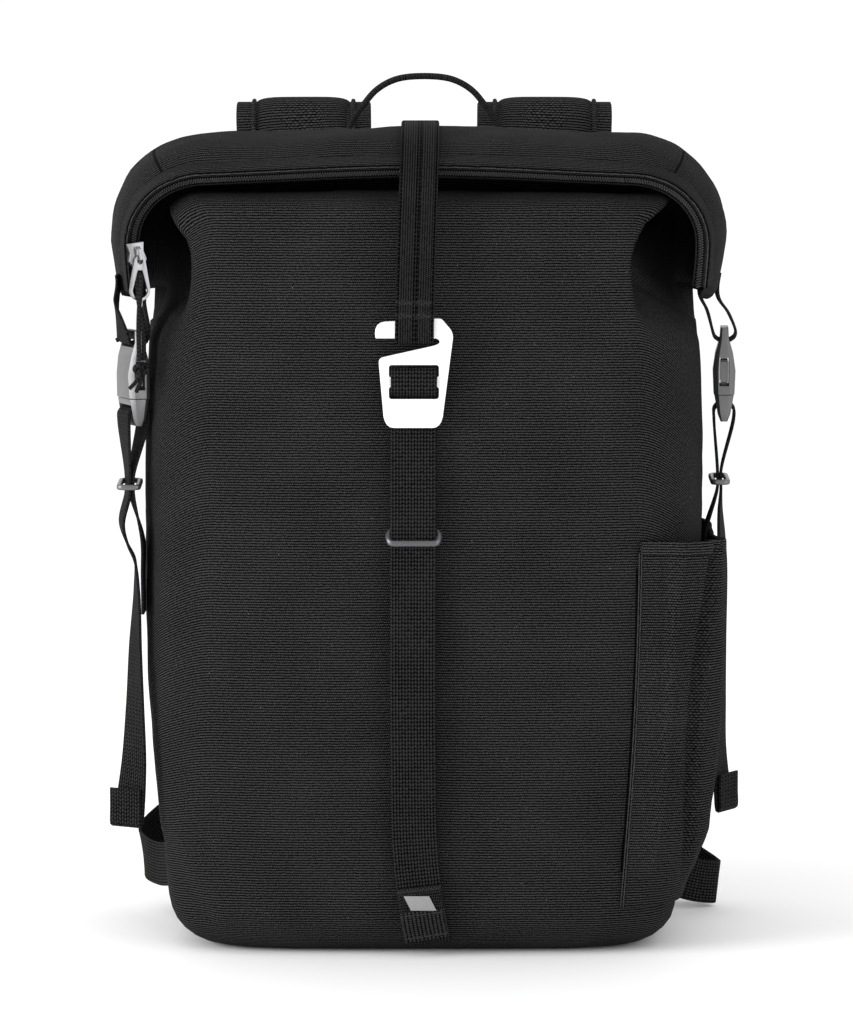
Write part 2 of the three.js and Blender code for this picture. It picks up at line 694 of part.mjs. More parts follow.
// From the top of the back over the roll and down to the hook's arm, round it and up again to the seam.
function overStrap() {
  const off = seat + overStrapThickness / 2;
  const overZip = zipWidth / 2 - rollHalfThickness; // the zip tape stands this much higher than the roll
  const points = [];
  for (let k = 2; k <= SHOULDER_STEPS + FOLD_STEPS; k++) {
    const j = shellRows.length - 1 - SHOULDER_STEPS - FOLD_STEPS + k;
    const w = (k - SHOULDER_STEPS) / FOLD_STEPS;
    const lift = off + (overZip + seat) * smoothstep(w, 0.5, 1);
    points.push(shellRows[j][BACK_COLUMN].clone().addScaledVector(shellNormal(j, BACK_COLUMN), lift));
  }
  const look = rollDirection(0, 1, 1);
  points.push(points[points.length - 1].clone().addScaledVector(look, zipWidth / 2));
  const armY = (hookBack + hookFront) / 2;
  const turn = hookThickness / 2 + seat + overStrapThickness / 2;
  const [front, back] = [armY - turn, armY + turn];
  const edge = points[points.length - 1];
  const low = armMiddle + armHalf;
  points.push(at(0, lerp(edge.y, front, 0.6), lerp(edge.z, low, 0.28)));
  points.push(at(0, lerp(edge.y, front, 0.93), lerp(edge.z, low, 0.6)));
  points.push(at(0, front, low));
  const foot = armMiddle - armHalf - seat - overStrapThickness / 2;
  for (const [y, z] of [[-1, 2.6], [-0.92, 0.9], [-0.56, -0.2], [0, -0.4], [0.56, -0.2], [0.92, 0.9], [1, 2.6]]) {
    points.push(at(0, armY + y * turn, foot + z));
  }
  points.push(at(0, back, low));
  points.forEach((p) => (p.x = driftAt(p.z)));
  return ribbon(points, acrossX, overStrapWidth, overStrapThickness);
}

// Sewn at the foot, up behind the hook, forward through its upper slot, down over the bar, back through the
// lower slot and down in front of itself as a tail.
const layer = webbing + seat; // from one layer of webbing to the next
const keeperRoom = keeperBand + 2.5 * seat; // the rear of the keeper lies between the strap and the bag

// The middle of the inner layer: on the bag at its foot, and clear of it by the keeper's room higher up.
function rearY(z) {
  const slope = (frontAt(z + 2) - frontAt(Math.max(z - 2, 0))) / 4;
  const off = (2.4 * seat + webbing / 2) * Math.sqrt(1 + slope * slope);
  return frontAt(z) - off - keeperRoom * smoothstep(z, 40, 130);
}

function frontStrap() {
  const slot = (windowHeight - hookBar) / 2;
  const bar = hookFoot + windowFoot + windowHeight / 2;
  const upper = bar + hookBar / 2 + slot / 2;
  const lower = bar - hookBar / 2 - slot / 2;
  const backOfHook = hookBack + seat + webbing / 2;
  const frontOfBar = hookFront - seat - webbing / 2;
  const up = [strapFoot, 11, 16, 22, 30, 45, 70, 110, 150, 190, keeperHeight, 255];
  const points = up.map((z) => at(0, rearY(z), z));
  points.push(at(0, backOfHook + layer, hookFoot));
  points.push(at(0, backOfHook + layer, lower));
  points.push(at(0, backOfHook + 0.6 * layer, bar));
  points.push(at(0, backOfHook, upper - 1.2));
  const inHook = (hookBack + hookFront) / 2;
  points.push(at(0, inHook, upper + 1));
  points.push(at(0, frontOfBar + 0.3, bar + hookBar / 2 + 0.8));
  points.push(at(0, frontOfBar, bar));
  points.push(at(0, frontOfBar + 0.3, bar - hookBar / 2 - 0.8));
  points.push(at(0, inHook, lower - 1));
  points.push(at(0, backOfHook, lower - 3.2));
  points.push(at(0, backOfHook, hookFoot));
  const down = [255, keeperHeight, 190, 150, 110, 70, 50, tailEnd];
  down.forEach((z) => points.push(at(0, rearY(z) - layer, z)));
  points.forEach((p) => (p.x = driftAt(p.z)));
  return ribbon(points, acrossX, strapWidth, webbing);
}

// A flat metal loop round two layers of a strap, as seen from above, and standing tall.
function keeper(width, layers, tall) {
  const hole = layers + 2 * seat;
  const outer = roundRectangle(
    new THREE.Shape(),
    -width / 2 - keeperBand - seat,
    -hole / 2 - keeperBand,
    width + 2 * (keeperBand + seat),
    hole + 2 * keeperBand,
    keeperBand,
  );
  outer.holes.push(
    roundRectangle(new THREE.Path(), -width / 2 - seat, -hole / 2, width + 2 * seat, hole, 0.8),
  );
  return plate(outer, tall, 2).translate(0, 0, -tall / 2);
}

const twoLayers = webbing + layer;
const frontKeeper = () =>
  keeper(strapWidth, twoLayers, frontKeeperTall)
    .translate(driftAt(keeperHeight), rearY(keeperHeight) - layer / 2, keeperHeight);

const tabLine = (lift) =>
  [1.2, 0.82, 0.5, 0.1].map((share) => {
    const z = tailEnd - tabLength + share * tabLength;
    return at(driftAt(z), rearY(z) - layer - webbing / 2 - seat - lift, z);
  });

function tailTab() {
  return ribbon(tabLine(webbing / 2), acrossX, strapWidth - 1, webbing);
}

function reflectiveStrip() {
  const z = tailEnd - 0.25 * tabLength;
  const y = rearY(z) - layer - 1.5 * webbing - 3 * seat;
  return new THREE.BoxGeometry(patchWidth, 0.6, patchHeight).translate(driftAt(z) - 2, y, z);
}

// Side straps, one set for each sign: 1 on the right, -1 on the left
const buckleTurn = { 1: degToRad(3), "-1": degToRad(22) }; // about the vertical, from flat against the side

const loopOuter = rollHalfThickness + seat + webbing / 2;
const barBelow = halfMouth + loopDrop; // length along the mouth to the buckle's upper bar

// Which way the broad face of a strap or buckle looks when it is turned to the front by an angle, and the
// direction of its width.
const faceOf = (sign, turn) => at(sign * Math.cos(turn), -Math.sin(turn), 0);
const widthOf = (sign, turn) => at(sign * Math.sin(turn), Math.cos(turn), 0);

// The buckle hangs from its upper bar with its length straight down.
const buckleTop = (sign) => {
  const place = spine(barBelow, sign);
  return at(place.x + sign * hangOut[sign], strapPlace[sign], place.z);
};

function rollLoop(sign) {
  const on = (s, h) => {
    const place = spine(s, sign);
    const y = lerp(loopPlace[sign], strapPlace[sign], smoothstep(s, halfMouth, barBelow));
    return at(place.x, y, place.z).addScaledVector(place.normal, h);
  };
  const turn = buckleTurn[sign];
  const top = buckleTop(sign);
  const round = 0.5 * buckleThickness;
  const inner = -loopInner[sign];
  const rows = [
    [on(halfMouth - loopSeam, loopOuter), 0],
    [on(halfMouth, loopOuter), 0],
    [on(lerp(halfMouth, barBelow, 0.4), lerp(loopOuter, hangOut[sign] + round, 0.5)), 0.4],
  ];
  for (const angle of [0, 35, 75, 105, 145, 180]) {
    const [out, down] = [Math.cos(degToRad(angle)), Math.sin(degToRad(angle))];
    const point = top.clone().addScaledVector(faceOf(sign, turn), out * round);
    rows.push([point.add(at(0, 0, -0.75 * round * down)), 1]);
  }
  rows.push([on(lerp(halfMouth, barBelow, 0.4), lerp(inner, hangOut[sign] - round, 0.5)), 0.4]);
  rows.push([on(halfMouth, inner), 0], [on(halfMouth - loopSeam, inner), 0]);
  const points = rows.map(([point]) => point);
  return ribbon(points, (i) => widthOf(sign, turn * rows[i][1]), sideStrapWidth, webbing);
}

// The buckle in its own frame: x across its width, y its thickness, z up, with the bar's middle at the origin.
const BUCKLE_ROWS = [
  { down: -0.06, width: 0.8, thickness: 0.34 },
  { down: 0.06, width: 0.92, thickness: 0.4 },
  { down: 0.22, width: 1, thickness: 0.78 },
  { down: 0.4, width: 0.94, thickness: 1 },
  { down: 0.64, width: 1, thickness: 0.92 },
  { down: 0.67, width: 0.96, thickness: 0.86 },
  { down: 0.86, width: 0.9, thickness: 0.56 },
  { down: 0.94, width: 0.8, thickness: 0.3 },
];

// An eight-cornered section, so that the buckle's edges are chamfered.
function buckleSection(row) {
  const [w, t] = [(row.width * buckleWidth) / 2, (row.thickness * buckleThickness) / 2];
  const c = 0.45 * t;
  const z = -row.down * buckleLength;
  return [
    [w, t - c], [w - c, t], [c - w, t], [-w, t - c],
    [-w, c - t], [c - w, -t], [w - c, -t], [w, c - t],
  ].map(([x, y]) => at(x, y, z));
}

const box = (width, depth, height, x, y, z) => new THREE.BoxGeometry(width, depth, height).translate(x, y, z);

const slotWidth = sideStrapWidth + 2 * seat;
const SPLIT = socketShare - 0.01;
const prongInset = 0.17; // share of the buckle's width from its edge to the middle of a prong

function socketAt(sign) {
  const rows = BUCKLE_ROWS.filter((row) => row.down < socketShare);
  rows.push({ ...rows[rows.length - 1], down: SPLIT });
  const body = loft(rows.filter((row) => row.down <= SPLIT).map(buckleSection));
  const bar = 3.2;
  const above = box(slotWidth, buckleThickness * 2, 4.4, 0, 0, bar / 2 + 2.2 - 7.5);
  const window = (side) =>
    box(
      0.3 * buckleWidth,
      0.42 * buckleThickness,
      0.3 * buckleLength,
      side * 0.46 * buckleWidth,
      0,
      -0.41 * buckleLength,
    );
  const room = box(0.8 * buckleWidth, 0.4 * buckleThickness, 0.44 * buckleLength, 0, 0, -0.45 * buckleLength);
  return placeBuckle(cutBy(body, above, window(1), window(-1), room), sign);
}

function plugAt(sign) {
  const gap = seat / buckleLength;
  const rows = BUCKLE_ROWS.filter((row) => row.down > SPLIT);
  rows[0] = { ...rows[0], down: SPLIT + gap };
  const foot = loft(rows.map(buckleSection));
  const lowSlot = box(slotWidth, buckleThickness * 2, 4.6, 0, 0, -0.765 * buckleLength);
  const prong = (side) =>
    joined(
      box(3, 0.3 * buckleThickness, 0.42 * buckleLength, side * 0.26 * buckleWidth, 0, -0.5 * buckleLength),
      box(
        0.16 * buckleWidth,
        0.34 * buckleThickness,
        0.22 * buckleLength,
        side * (0.5 - prongInset) * buckleWidth,
        0,
        -0.41 * buckleLength,
      ),
    );
  return placeBuckle(joined(cutBy(foot, lowSlot), prong(1), prong(-1)), sign);
}

function placeBuckle(geometry, sign) {
  return geometry
    .rotateZ(Math.PI / 2 - sign * buckleTurn[sign])
    .translate(...buckleTop(sign).toArray());
}

// From the seam on the side of the bag up to the plug's slot, round its bar, and down as a tail through the
// keeper to a folded end. Each row of the tail: its height, how far it is from the middle of the bag and how
// many degrees it is turned to the front.
const TAIL_ROWS = {
  1: [
    { height: 264, x: 165, turn: 4 },
    { height: 254, x: 165, turn: 4 },
    { height: 242, x: 164.6, turn: 8 },
    { height: 228, x: 165.3, turn: 13 },
    { height: 210, x: 166, turn: 17 },
    { height: 168, x: 165.6, turn: 18 },
    { height: 135, x: 165.6, turn: 18 },
    { height: 104, x: 165.6, turn: 22 },
    { height: 74, x: 168.5, turn: 34 },
  ],
  "-1": [
    { height: 264, x: 162.5, turn: 11 },
    { height: 254, x: 162.5, turn: 11 },
    { height: 237.5, x: 166, turn: 10 },
    { height: 226, x: 163, turn: 6 },
    { height: 217, x: 159, turn: 4 },
    { height: 201, x: 158, turn: 10 },
    { height: 168, x: 159, turn: 22 },
    { height: 135, x: 159.4, turn: 32 },
    { height: 102, x: 160.4, turn: 46 },
    { height: 70, x: 164, turn: 62 },
  ],
};

function sideStrap(sign) {
  const rows = TAIL_ROWS[sign];
  const top = buckleTop(sign);
  const y = strapPlace[sign];
  const rowsUp = [];
  const put = (point, degrees) => rowsUp.push([point, degToRad(degrees)]);
  const flat = THREE.MathUtils.radToDeg(buckleTurn[sign]);
  for (const z of [anchorHeight - 44, anchorHeight - 22, anchorHeight - 4]) {
    put(at(sign * (sideAt(y + sideStrapWidth / 2, z) + seat + webbing / 2), y, z), 0);
  }
  for (const { height, x, turn } of [rows[1], rows[0]]) {
    put(at(sign * x, y, height).addScaledVector(faceOf(sign, degToRad(turn)), -layer), turn);
  }
  const thick = 0.34 * buckleThickness + seat + webbing / 2;
  const round = (out, below) =>
    put(at(top.x, y, top.z - below).addScaledVector(faceOf(sign, buckleTurn[sign]), out * thick), flat);
  const [slot, bar] = [0.765 * buckleLength, 0.88 * buckleLength];
  for (const [out, below] of [[-1, bar + 2], [-0.98, slot + 2.2], [-0.62, slot + 0.2], [0, slot - 0.5]]) {
    round(out, below);
  }
  for (const [out, below] of [[0.62, slot + 0.2], [0.98, slot + 2.2], [1, bar + 2]]) round(out, below);
  for (const { height, x, turn } of rows) put(at(sign * x, y, height), turn);
  const foot = rows[rows.length - 1];
  const folded = (out, z) =>
    put(at(sign * foot.x, y, z).addScaledVector(faceOf(sign, degToRad(foot.turn)), out), foot.turn);
  folded(0.5 * layer, foot.height - 0.8);
  folded(layer, foot.height);
  folded(layer, foot.height + 0.5 * hemLength);
  folded(layer, foot.height + hemLength);
  const points = rowsUp.map(([point]) => point);
  return ribbon(points, (i) => widthOf(sign, rowsUp[i][1]), sideStrapWidth, webbing);
}

function sideKeeper(sign) {
  const [upper, lower] = TAIL_ROWS[sign];
  const turn = degToRad(0.5 * (upper.turn + lower.turn));
  const middle = at((sign * (upper.x + lower.x)) / 2, strapPlace[sign], sideKeeperHeight);
  middle.addScaledVector(faceOf(sign, turn), -layer / 2);
  return keeper(sideStrapWidth, twoLayers, sideKeeperTall)
    .rotateZ(Math.PI / 2 - sign * turn)
    .translate(...middle.toArray());
}

// Side pocket

// A sheet of cloth between two grids of points, closed along its four edges.
function sheet(outer, inner) {
  const [rows, cols] = [outer.length, outer[0].length];
  const corners = [...outer.flat(), ...inner.flat()];
  const within = rows * cols;
  const triangles = [];
  const quad = (a, b, c, d) => triangles.push([a, b, c], [a, c, d]);
  for (let j = 0; j + 1 < rows; j++) {
    for (let i = 0; i + 1 < cols; i++) {
      const a = j * cols + i;
      quad(a, a + 1, a + cols + 1, a + cols);
      quad(within + a + 1, within + a, within + a + cols, within + a + cols + 1);
    }
  }
  for (let i = 0; i + 1 < cols; i++) {
    quad(i + 1, i, within + i, within + i + 1);
    const a = (rows - 1) * cols + i;
    quad(a, a + 1, within + a + 1, within + a);
  }
  for (let j = 0; j + 1 < rows; j++) {
    const [a, b] = [j * cols, j * cols + cols - 1];
    quad(a, a + cols, within + a + cols, within + a);
    quad(b + cols, b, within + b, within + b + cols);
  }
  return closedGeometry(corners, triangles);
}

// The pocket's columns go from its front seam over the corner and the side to its back seam. Each row: share
// and face of the wall, and how full the pocket is there on the side and at the corner.
const POCKET_COLUMNS = [
  { share: pocketFrontShare, face: -1, side: 0, corner: 0 },
  { share: 0.56, face: -1, side: 0.25, corner: 0.1 },
  { share: 0.61, face: -1, side: 0.6, corner: 0.6 },
  { share: 0.66, face: -1, side: 0.8, corner: 1 },
  { share: 0.71, face: -1, side: 1, corner: 1 },
  { share: 0.77, face: -1, side: 1, corner: 0.4 },
  { share: 0.85, face: -1, side: 1, corner: 0 },
  { share: 0.93, face: -1, side: 1, corner: 0 },
  { share: 1, face: -1, side: 1, corner: 0 },
  { share: 0.93, face: 1, side: 1, corner: 0 },
  { share: 0.87, face: 1, side: 0.7, corner: 0 },
  { share: 0.83, face: 1, side: 0.3, corner: 0 },
  { share: pocketBackShare, face: 1, side: 0, corner: 0 },
];
const POCKET_ROWS = [
  { height: 0, full: 0 },
  { height: 0.04, full: 0.2 },
  { height: 0.1, full: 0.55 },
  { height: 0.2, full: 0.9 },
  { height: 0.4, full: 1 },
  { height: 0.6, full: 1 },
  { height: 0.8, full: 1 },
  { height: 1, full: 1 },
];

// The outward direction of a wall, level, at a share of its quarter.
function wallNormal(share, face, z) {
  const step = 0.01;
  const shoulder = shoulderOf(share, face);
  const a = wallPoint(Math.max(share - step, 0), 1, face, z, shoulder);
  const b = share + step > 1
    ? wallPoint(1 - (share + step - 1), 1, -face, z, shoulder)
    : wallPoint(share + step, 1, face, z, shoulder);
  const normal = at(0, 0, 0).crossVectors(at(0, 0, 1), b.sub(a)).normalize();
  return normal.multiplyScalar(face < 0 ? -1 : 1);
}

function sidePocket() {
  const grid = (extra) =>
    POCKET_ROWS.map(({ height, full }) => {
      const z = lerp(pocketFoot, pocketTop, height);
      return POCKET_COLUMNS.map(({ share, face, side, corner }) => {
        const room = full * (side * pocketBulge + corner * pocketCorner);
        return wallPoint(share, 1, face, z, shoulderOf(share, face))
          .addScaledVector(wallNormal(share, face, z), seat + room + extra);
      });
    });
  return sheet(grid(pocketCloth), grid(0));
}

// Shoulder straps

// The strap's middle seen from the side, as [y, z], and how wide and thick it is there as shares.
const padBack = backAt(390);
const adjusterTop = padFoot - 1;
const adjusterY = padBack + 28;
const adjusterX = 1.2 * padSpread;
const upperSlot = adjusterTop - 5.8;
const besideAdjuster = adjusterThickness / 2 + seat + webbing / 2;
const PAD_ROWS = [
  { y: padBack + 1.9, z: 368, spread: 0.9, pad: 0, wing: 0.9, width: 0.9 },
  { y: padBack + 2.5, z: 388, spread: 0.92, pad: 0.05, wing: 0.9, width: 0.95 },
  { y: padBack + 6, z: 410, spread: 0.95, pad: 0.4, wing: 1, width: 1 },
  { y: padBack + 10, z: 432, spread: 0.98, pad: 0.8, wing: 1, width: 1 },
  { y: padBack + 17, z: padTop - 13, spread: 1, pad: 1, wing: 1, width: 1 },
  { y: padBack + 27, z: padTop - 6, spread: 1, pad: 1, wing: 1, width: 1 },
  { y: padBack + 39, z: padTop - 10, spread: 1, pad: 1, wing: 1, width: 1 },
  { y: padBack + 50, z: padTop - 28, spread: 1, pad: 1, wing: 1, width: 1 },
  { y: padBack + 57, z: padTop - 60, spread: 1, pad: 1, wing: 1, width: 1 },
  { y: padBack + 60, z: padTop - 100, spread: 1, pad: 1, wing: 1, width: 1 },
  { y: padBack + 57, z: padTop - 150, spread: 1.02, pad: 1, wing: 1, width: 1 },
  { y: padBack + 49, z: padTop - 200, spread: 1.06, pad: 1, wing: 1, width: 0.98 },
  { y: padBack + 40, z: padTop - 245, spread: 1.12, pad: 0.9, wing: 0.9, width: 0.85 },
  { y: padBack + 33, z: padFoot + 22, spread: 1.18, pad: 0.6, wing: 0.6, width: 0.6 },
  { y: padBack + 31, z: padFoot + 10, spread: 1.2, pad: 0.1, wing: 0.1, width: 0.41 },
  ...[[1, 2.6], [0.82, 0.2], [0, -0.9], [-0.82, 0.2], [-1, 2.6], [-1, 18]].map(([out, up]) => ({
    y: adjusterY + out * besideAdjuster,
    z: upperSlot + up,
    spread: 1.2,
    pad: 0,
    wing: 0.01,
    width: 0.41,
  })),
];

// A cushion section with a flat wing at each edge. A point is [across, out].
function padSection({ pad, wing, width }) {
  const half = (width * padWidth) / 2;
  const edge = half + wing * wingWidth;
  const thin = Math.max(0.5 * wingThickness * wing, webbing / 2);
  const full = Math.max(0.5 * pad * padThickness, thin + 0.06);
  const upper = [
    [edge, thin], [half, thin], [0.9 * half, lerp(thin, full, 0.62)], [0.62 * half, lerp(thin, full, 0.93)],
    [0, full],
    [-0.62 * half, lerp(thin, full, 0.93)], [-0.9 * half, lerp(thin, full, 0.62)], [-half, thin], [-edge, thin],
  ];
  const lower = upper.map(([a, o]) => [a, -o]).reverse();
  return [...upper, ...lower];
}

function shoulderStrap(sign) {
  const points = PAD_ROWS.map(({ y, z, spread }) => at(sign * spread * padSpread, y, z));
  const frames = framesAlong(points, acrossX);
  return sweep(frames, (i) => padSection(PAD_ROWS[i]));
}

// Adjuster under each strap and the webbing from it to the lower corner of the bag

function strapAdjuster(sign) {
  const outline = roundRectangle(
    new THREE.Shape(), -adjusterWidth / 2, -adjusterHeight, adjusterWidth, adjusterHeight, 3,
  );
  const slot = (foot) =>
    roundRectangle(new THREE.Path(), -strapWidth / 2 - seat, foot, strapWidth + 2 * seat, 4.4, 1);
  outline.holes.push(slot(-8), slot(-18));
  return plate(outline, adjusterThickness, 2)
    .translate(0, 0, -adjusterThickness / 2)
    .rotateX(Math.PI / 2)
    .translate(sign * adjusterX, adjusterY, adjusterTop);
}

// From the adjuster's lower slot down to the back corner, out in a bow beside the bag and in again to the seam
// in the side: points as [right, back, up] and how far the webbing is turned to the side.
const LOWER_ROUTES = {
  1: [
    { right: 88, back: 106, up: 120, turn: 4 },
    { right: 102, back: 101, up: 84, turn: 14 },
    { right: 124, back: 98, up: 48, turn: 30 },
    { right: 150, back: 92, up: 24, turn: 52 },
    { right: 167, back: 76, up: 15, turn: 76 },
    { right: 170, back: 64, up: 14.5, turn: 86 },
    { right: 158, back: 55, up: 17, turn: 90 },
    { right: 143.3, back: 50, up: 22, turn: 90 },
  ],
  "-1": [
    { right: 88, back: 106, up: 120, turn: 4 },
    { right: 102, back: 101, up: 90, turn: 14 },
    { right: 126, back: 98, up: 62, turn: 32 },
    { right: 150, back: 90, up: 44, turn: 52 },
    { right: 162, back: 72, up: 35, turn: 78 },
    { right: 161, back: 54, up: 31, turn: 88 },
    { right: 153, back: 38, up: 30, turn: 90 },
    { right: 145, back: 20, up: 33, turn: 90 },
  ],
};

function lowerWebbing(sign) {
  const slotZ = adjusterTop - 15.8;
  const start = [[1, -26], [1, -3], [0.82, -0.6], [0, 0.4], [-0.82, -0.6], [-1, -3], [-1, -8]].map(
    ([out, up]) => ({ right: adjusterX, back: adjusterY + out * besideAdjuster, up: slotZ + up, turn: 0 }),
  );
  const route = [...start, ...LOWER_ROUTES[sign]];
  const points = route.map(({ right, back, up }) => at(sign * right, back, up));
  const across = (i) => {
    const turn = degToRad(route[i].turn);
    return at(sign * Math.cos(turn), 0, Math.sin(turn));
  };
  return ribbon(points, across, strapWidth, webbing);
}

// Handle: a webbing arch that stands on the top of the back, edge-on to the front, with its feet sewn flat.
const handlePlace = 66;
const shelfAt = (y) => {
  const column = shellRows.map((row) => row[BACK_COLUMN]);
  const j = column.findIndex((p, i) => i > ROUND_STEPS + WALL_ROWS.length - 2 && p.y < y);
  const [p, q] = [column[j - 1], column[j]];
  return lerp(p.z, q.z, (y - p.y) / (q.y - p.y));
};

function grabHandle() {
  const half = handleSpan / 2;
  const y = handlePlace;
  const shelf = Math.max(shelfAt(y - handleWidth / 2), shelfAt(y), shelfAt(y + handleWidth / 2));
  const foot = shelf - 0.6 * seat + handleThickness / 2;
  const side = [
    [half + 20, foot],
    [half + 8, foot],
    [half + 2.5, foot + 1.6],
    [half, foot + 6],
    [half, foot + 18],
    [half - 4, handleTop - 29],
    [half - 11.5, handleTop - 18],
    [half - 19, handleTop - 9.5],
    [half - 30, handleTop - 3.6],
  ];
  const crown = [[0, handleTop - handleThickness / 2]];
  const rows = [...side.map(([x, z]) => [-x, z]), ...crown, ...side.slice().reverse()];
  const points = rows.map(([x, z]) => at(x, y, z));
  return ribbon(points, () => at(0, 1, 0), handleWidth, handleThickness);
}

const group = new THREE.Group();

function add(name, geometry, color = BLACK, roughness = 0.9, metalness = 0) {
  const mesh = new THREE.Mesh(geometry, new THREE.MeshStandardMaterial({ color, roughness, metalness }));
  mesh.name = name;
  group.add(mesh);
}

add("bag_shell", bagShell());
add("zip_tape", zipTape());
add("zip_coil", zipCoil());
add("zip_slider", zipSlider(), GREY, 0.35, 1);
add("zip_puller", zipPuller(), GREY, 0.35, 1);
add("pull_cord", pullCordTube());
add("pull_knot", pullKnot());
add("over_strap", overStrap());
add("g_hook", gHook(), SILVER, 0.4, 1);
add("front_strap", frontStrap());
add("front_keeper", frontKeeper(), GREY, 0.4, 1);
add("tail_tab", tailTab());
add("reflective_strip", reflectiveStrip(), SILVER, 0.5, 0);
for (const [side, sign] of [["left", -1], ["right", 1]]) {
  add(`roll_loop_${side}`, rollLoop(sign));
  add(`buckle_socket_${side}`, socketAt(sign), GREY, 0.45, 1);
  add(`buckle_plug_${side}`, plugAt(sign), GREY, 0.45, 1);
  add(`side_strap_${side}`, sideStrap(sign));
  add(`side_keeper_${side}`, sideKeeper(sign), GREY, 0.45, 1);
  add(`shoulder_strap_${side}`, shoulderStrap(sign));
  add(`strap_adjuster_${side}`, strapAdjuster(sign), GREY, 0.6, 0);
  add(`lower_webbing_${side}`, lowerWebbing(sign));
}
add("side_pocket", sidePocket());
add("grab_handle", grabHandle());

export default group;
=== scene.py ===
# %% [markdown]
# # A rolltop backpack in Blender
#
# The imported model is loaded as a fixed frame. Every piece below is a finer version of one of its solids,
# in the same place, with the cloth, webbing and metal of the real bag.

# %% Load the frame
import itertools
import math

import bmesh
import bpy
import numpy as np
from mathutils import Matrix, Vector, noise


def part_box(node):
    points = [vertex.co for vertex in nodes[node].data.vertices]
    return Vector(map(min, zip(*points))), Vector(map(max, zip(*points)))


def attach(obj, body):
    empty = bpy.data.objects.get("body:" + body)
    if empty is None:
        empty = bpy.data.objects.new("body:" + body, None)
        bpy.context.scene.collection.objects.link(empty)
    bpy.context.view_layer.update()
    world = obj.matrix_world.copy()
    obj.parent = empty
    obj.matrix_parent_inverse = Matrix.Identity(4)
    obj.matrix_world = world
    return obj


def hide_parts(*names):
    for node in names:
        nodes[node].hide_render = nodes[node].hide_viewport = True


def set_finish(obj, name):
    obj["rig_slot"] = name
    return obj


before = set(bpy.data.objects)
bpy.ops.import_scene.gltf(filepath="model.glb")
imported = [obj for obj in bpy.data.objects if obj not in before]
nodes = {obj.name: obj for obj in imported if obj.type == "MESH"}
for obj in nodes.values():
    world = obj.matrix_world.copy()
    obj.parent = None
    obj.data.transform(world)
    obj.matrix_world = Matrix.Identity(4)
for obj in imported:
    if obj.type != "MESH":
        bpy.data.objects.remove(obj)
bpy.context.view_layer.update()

# %% [markdown]
# ## Camera
#
# The picture of the bag was taken from far away and a little above, so its sides barely converge. The
# camera looks down by six degrees from two and a half metres, with a long lens. The Standard view keeps
# the white ground white.

# %% Camera
LOOK_AT = Vector((0.0014, -0.090, 0.2467))
DISTANCE, LENS = 2.5, 161.9
LOOK_DOWN = math.radians(6)
camera_data = bpy.data.cameras.new("camera")
camera = bpy.data.objects.new("camera", camera_data)
bpy.context.scene.collection.objects.link(camera)
camera.location = LOOK_AT + DISTANCE * Vector((0, -math.cos(LOOK_DOWN), math.sin(LOOK_DOWN)))
camera.rotation_euler = (math.pi / 2 - LOOK_DOWN, 0, 0)
camera_data.lens = LENS
camera_data.clip_end = 20
bpy.context.scene.camera = camera
bpy.context.scene.view_settings.view_transform = "Standard"
print("camera at", [round(value, 3) for value in camera.location])

# %% [markdown]
# ## Shader maths
#
# A material's pattern is arithmetic on coordinates. This class wraps one output of a node, so that a
# pattern can be written as an ordinary expression, and each operator adds the Math node it needs.

# %% Shader maths
class Wire:
    """One output of a node, with arithmetic."""

    def __init__(self, tree, socket=None):
        self.tree, self.socket = tree, socket

    def node(self, kind, inputs=(), out=0, **settings):
        made = self.tree.nodes.new(kind)
        for name, value in settings.items():
            setattr(made, name, value)
        for key, value in dict(inputs).items():
            if isinstance(value, Wire):
                self.tree.links.new(value.socket, made.inputs[key])
            else:
                made.inputs[key].default_value = value
        return Wire(self.tree, made.outputs[out])

    def math(self, operation, *values):
        return self.node("ShaderNodeMath", enumerate(values), operation=operation)

    def __add__(self, other): return self.math("ADD", self, other)
    def __radd__(self, other): return self.math("ADD", other, self)
    def __sub__(self, other): return self.math("SUBTRACT", self, other)
    def __rsub__(self, other): return self.math("SUBTRACT", other, self)
    def __mul__(self, other): return self.math("MULTIPLY", self, other)
    def __truediv__(self, other): return self.math("DIVIDE", self, other)
    def __pow__(self, other): return self.math("POWER", self, other)
    def __lt__(self, other): return self.math("LESS_THAN", self, other)
    def __gt__(self, other): return self.math("GREATER_THAN", self, other)
    def abs(self): return self.math("ABSOLUTE", self)
    def fraction(self): return self.math("FRACT", self)
    def floor(self): return self.math("FLOOR", self)
    def wave(self): return self.math("SINE", self * (2 * math.pi)) * 0.5 + 0.5

    def smooth(self, low, high):
        return self.node("ShaderNodeMapRange", {0: self, 1: low, 2: high}, interpolation_type="SMOOTHSTEP")

    def mixed(self, first, second):
        """A colour between two, by this value."""
        ends = {6: (*first, 1) if isinstance(first, tuple) else first,
                7: (*second, 1) if isinstance(second, tuple) else second}
        return self.node("ShaderNodeMix", {0: self, **ends}, out=2, data_type="RGBA")


def new_finish(name):
    material = bpy.data.materials.new(name)
    material.use_nodes = True
    shader = material.node_tree.nodes["Principled BSDF"]
    return material, shader, Wire(material.node_tree)


def put(shader, socket, wire):
    wire.tree.links.new(wire.socket, shader.inputs[socket])


def scaled(tone, factor):
    return tuple(factor * part for part in tone)


def along_cloth(wire):
    """A piece's own map, and its two coordinates in metres."""
    place = wire.node("ShaderNodeUVMap", uv_map="cloth")
    split = place.node("ShaderNodeSeparateXYZ", {0: place})
    return place, split, Wire(split.tree, split.socket.node.outputs[1])


def bumped(height, distance, strength=0.9):
    return height.node("ShaderNodeBump", {"Height": height, "Distance": distance, "Strength": strength})


print("shader maths ready")

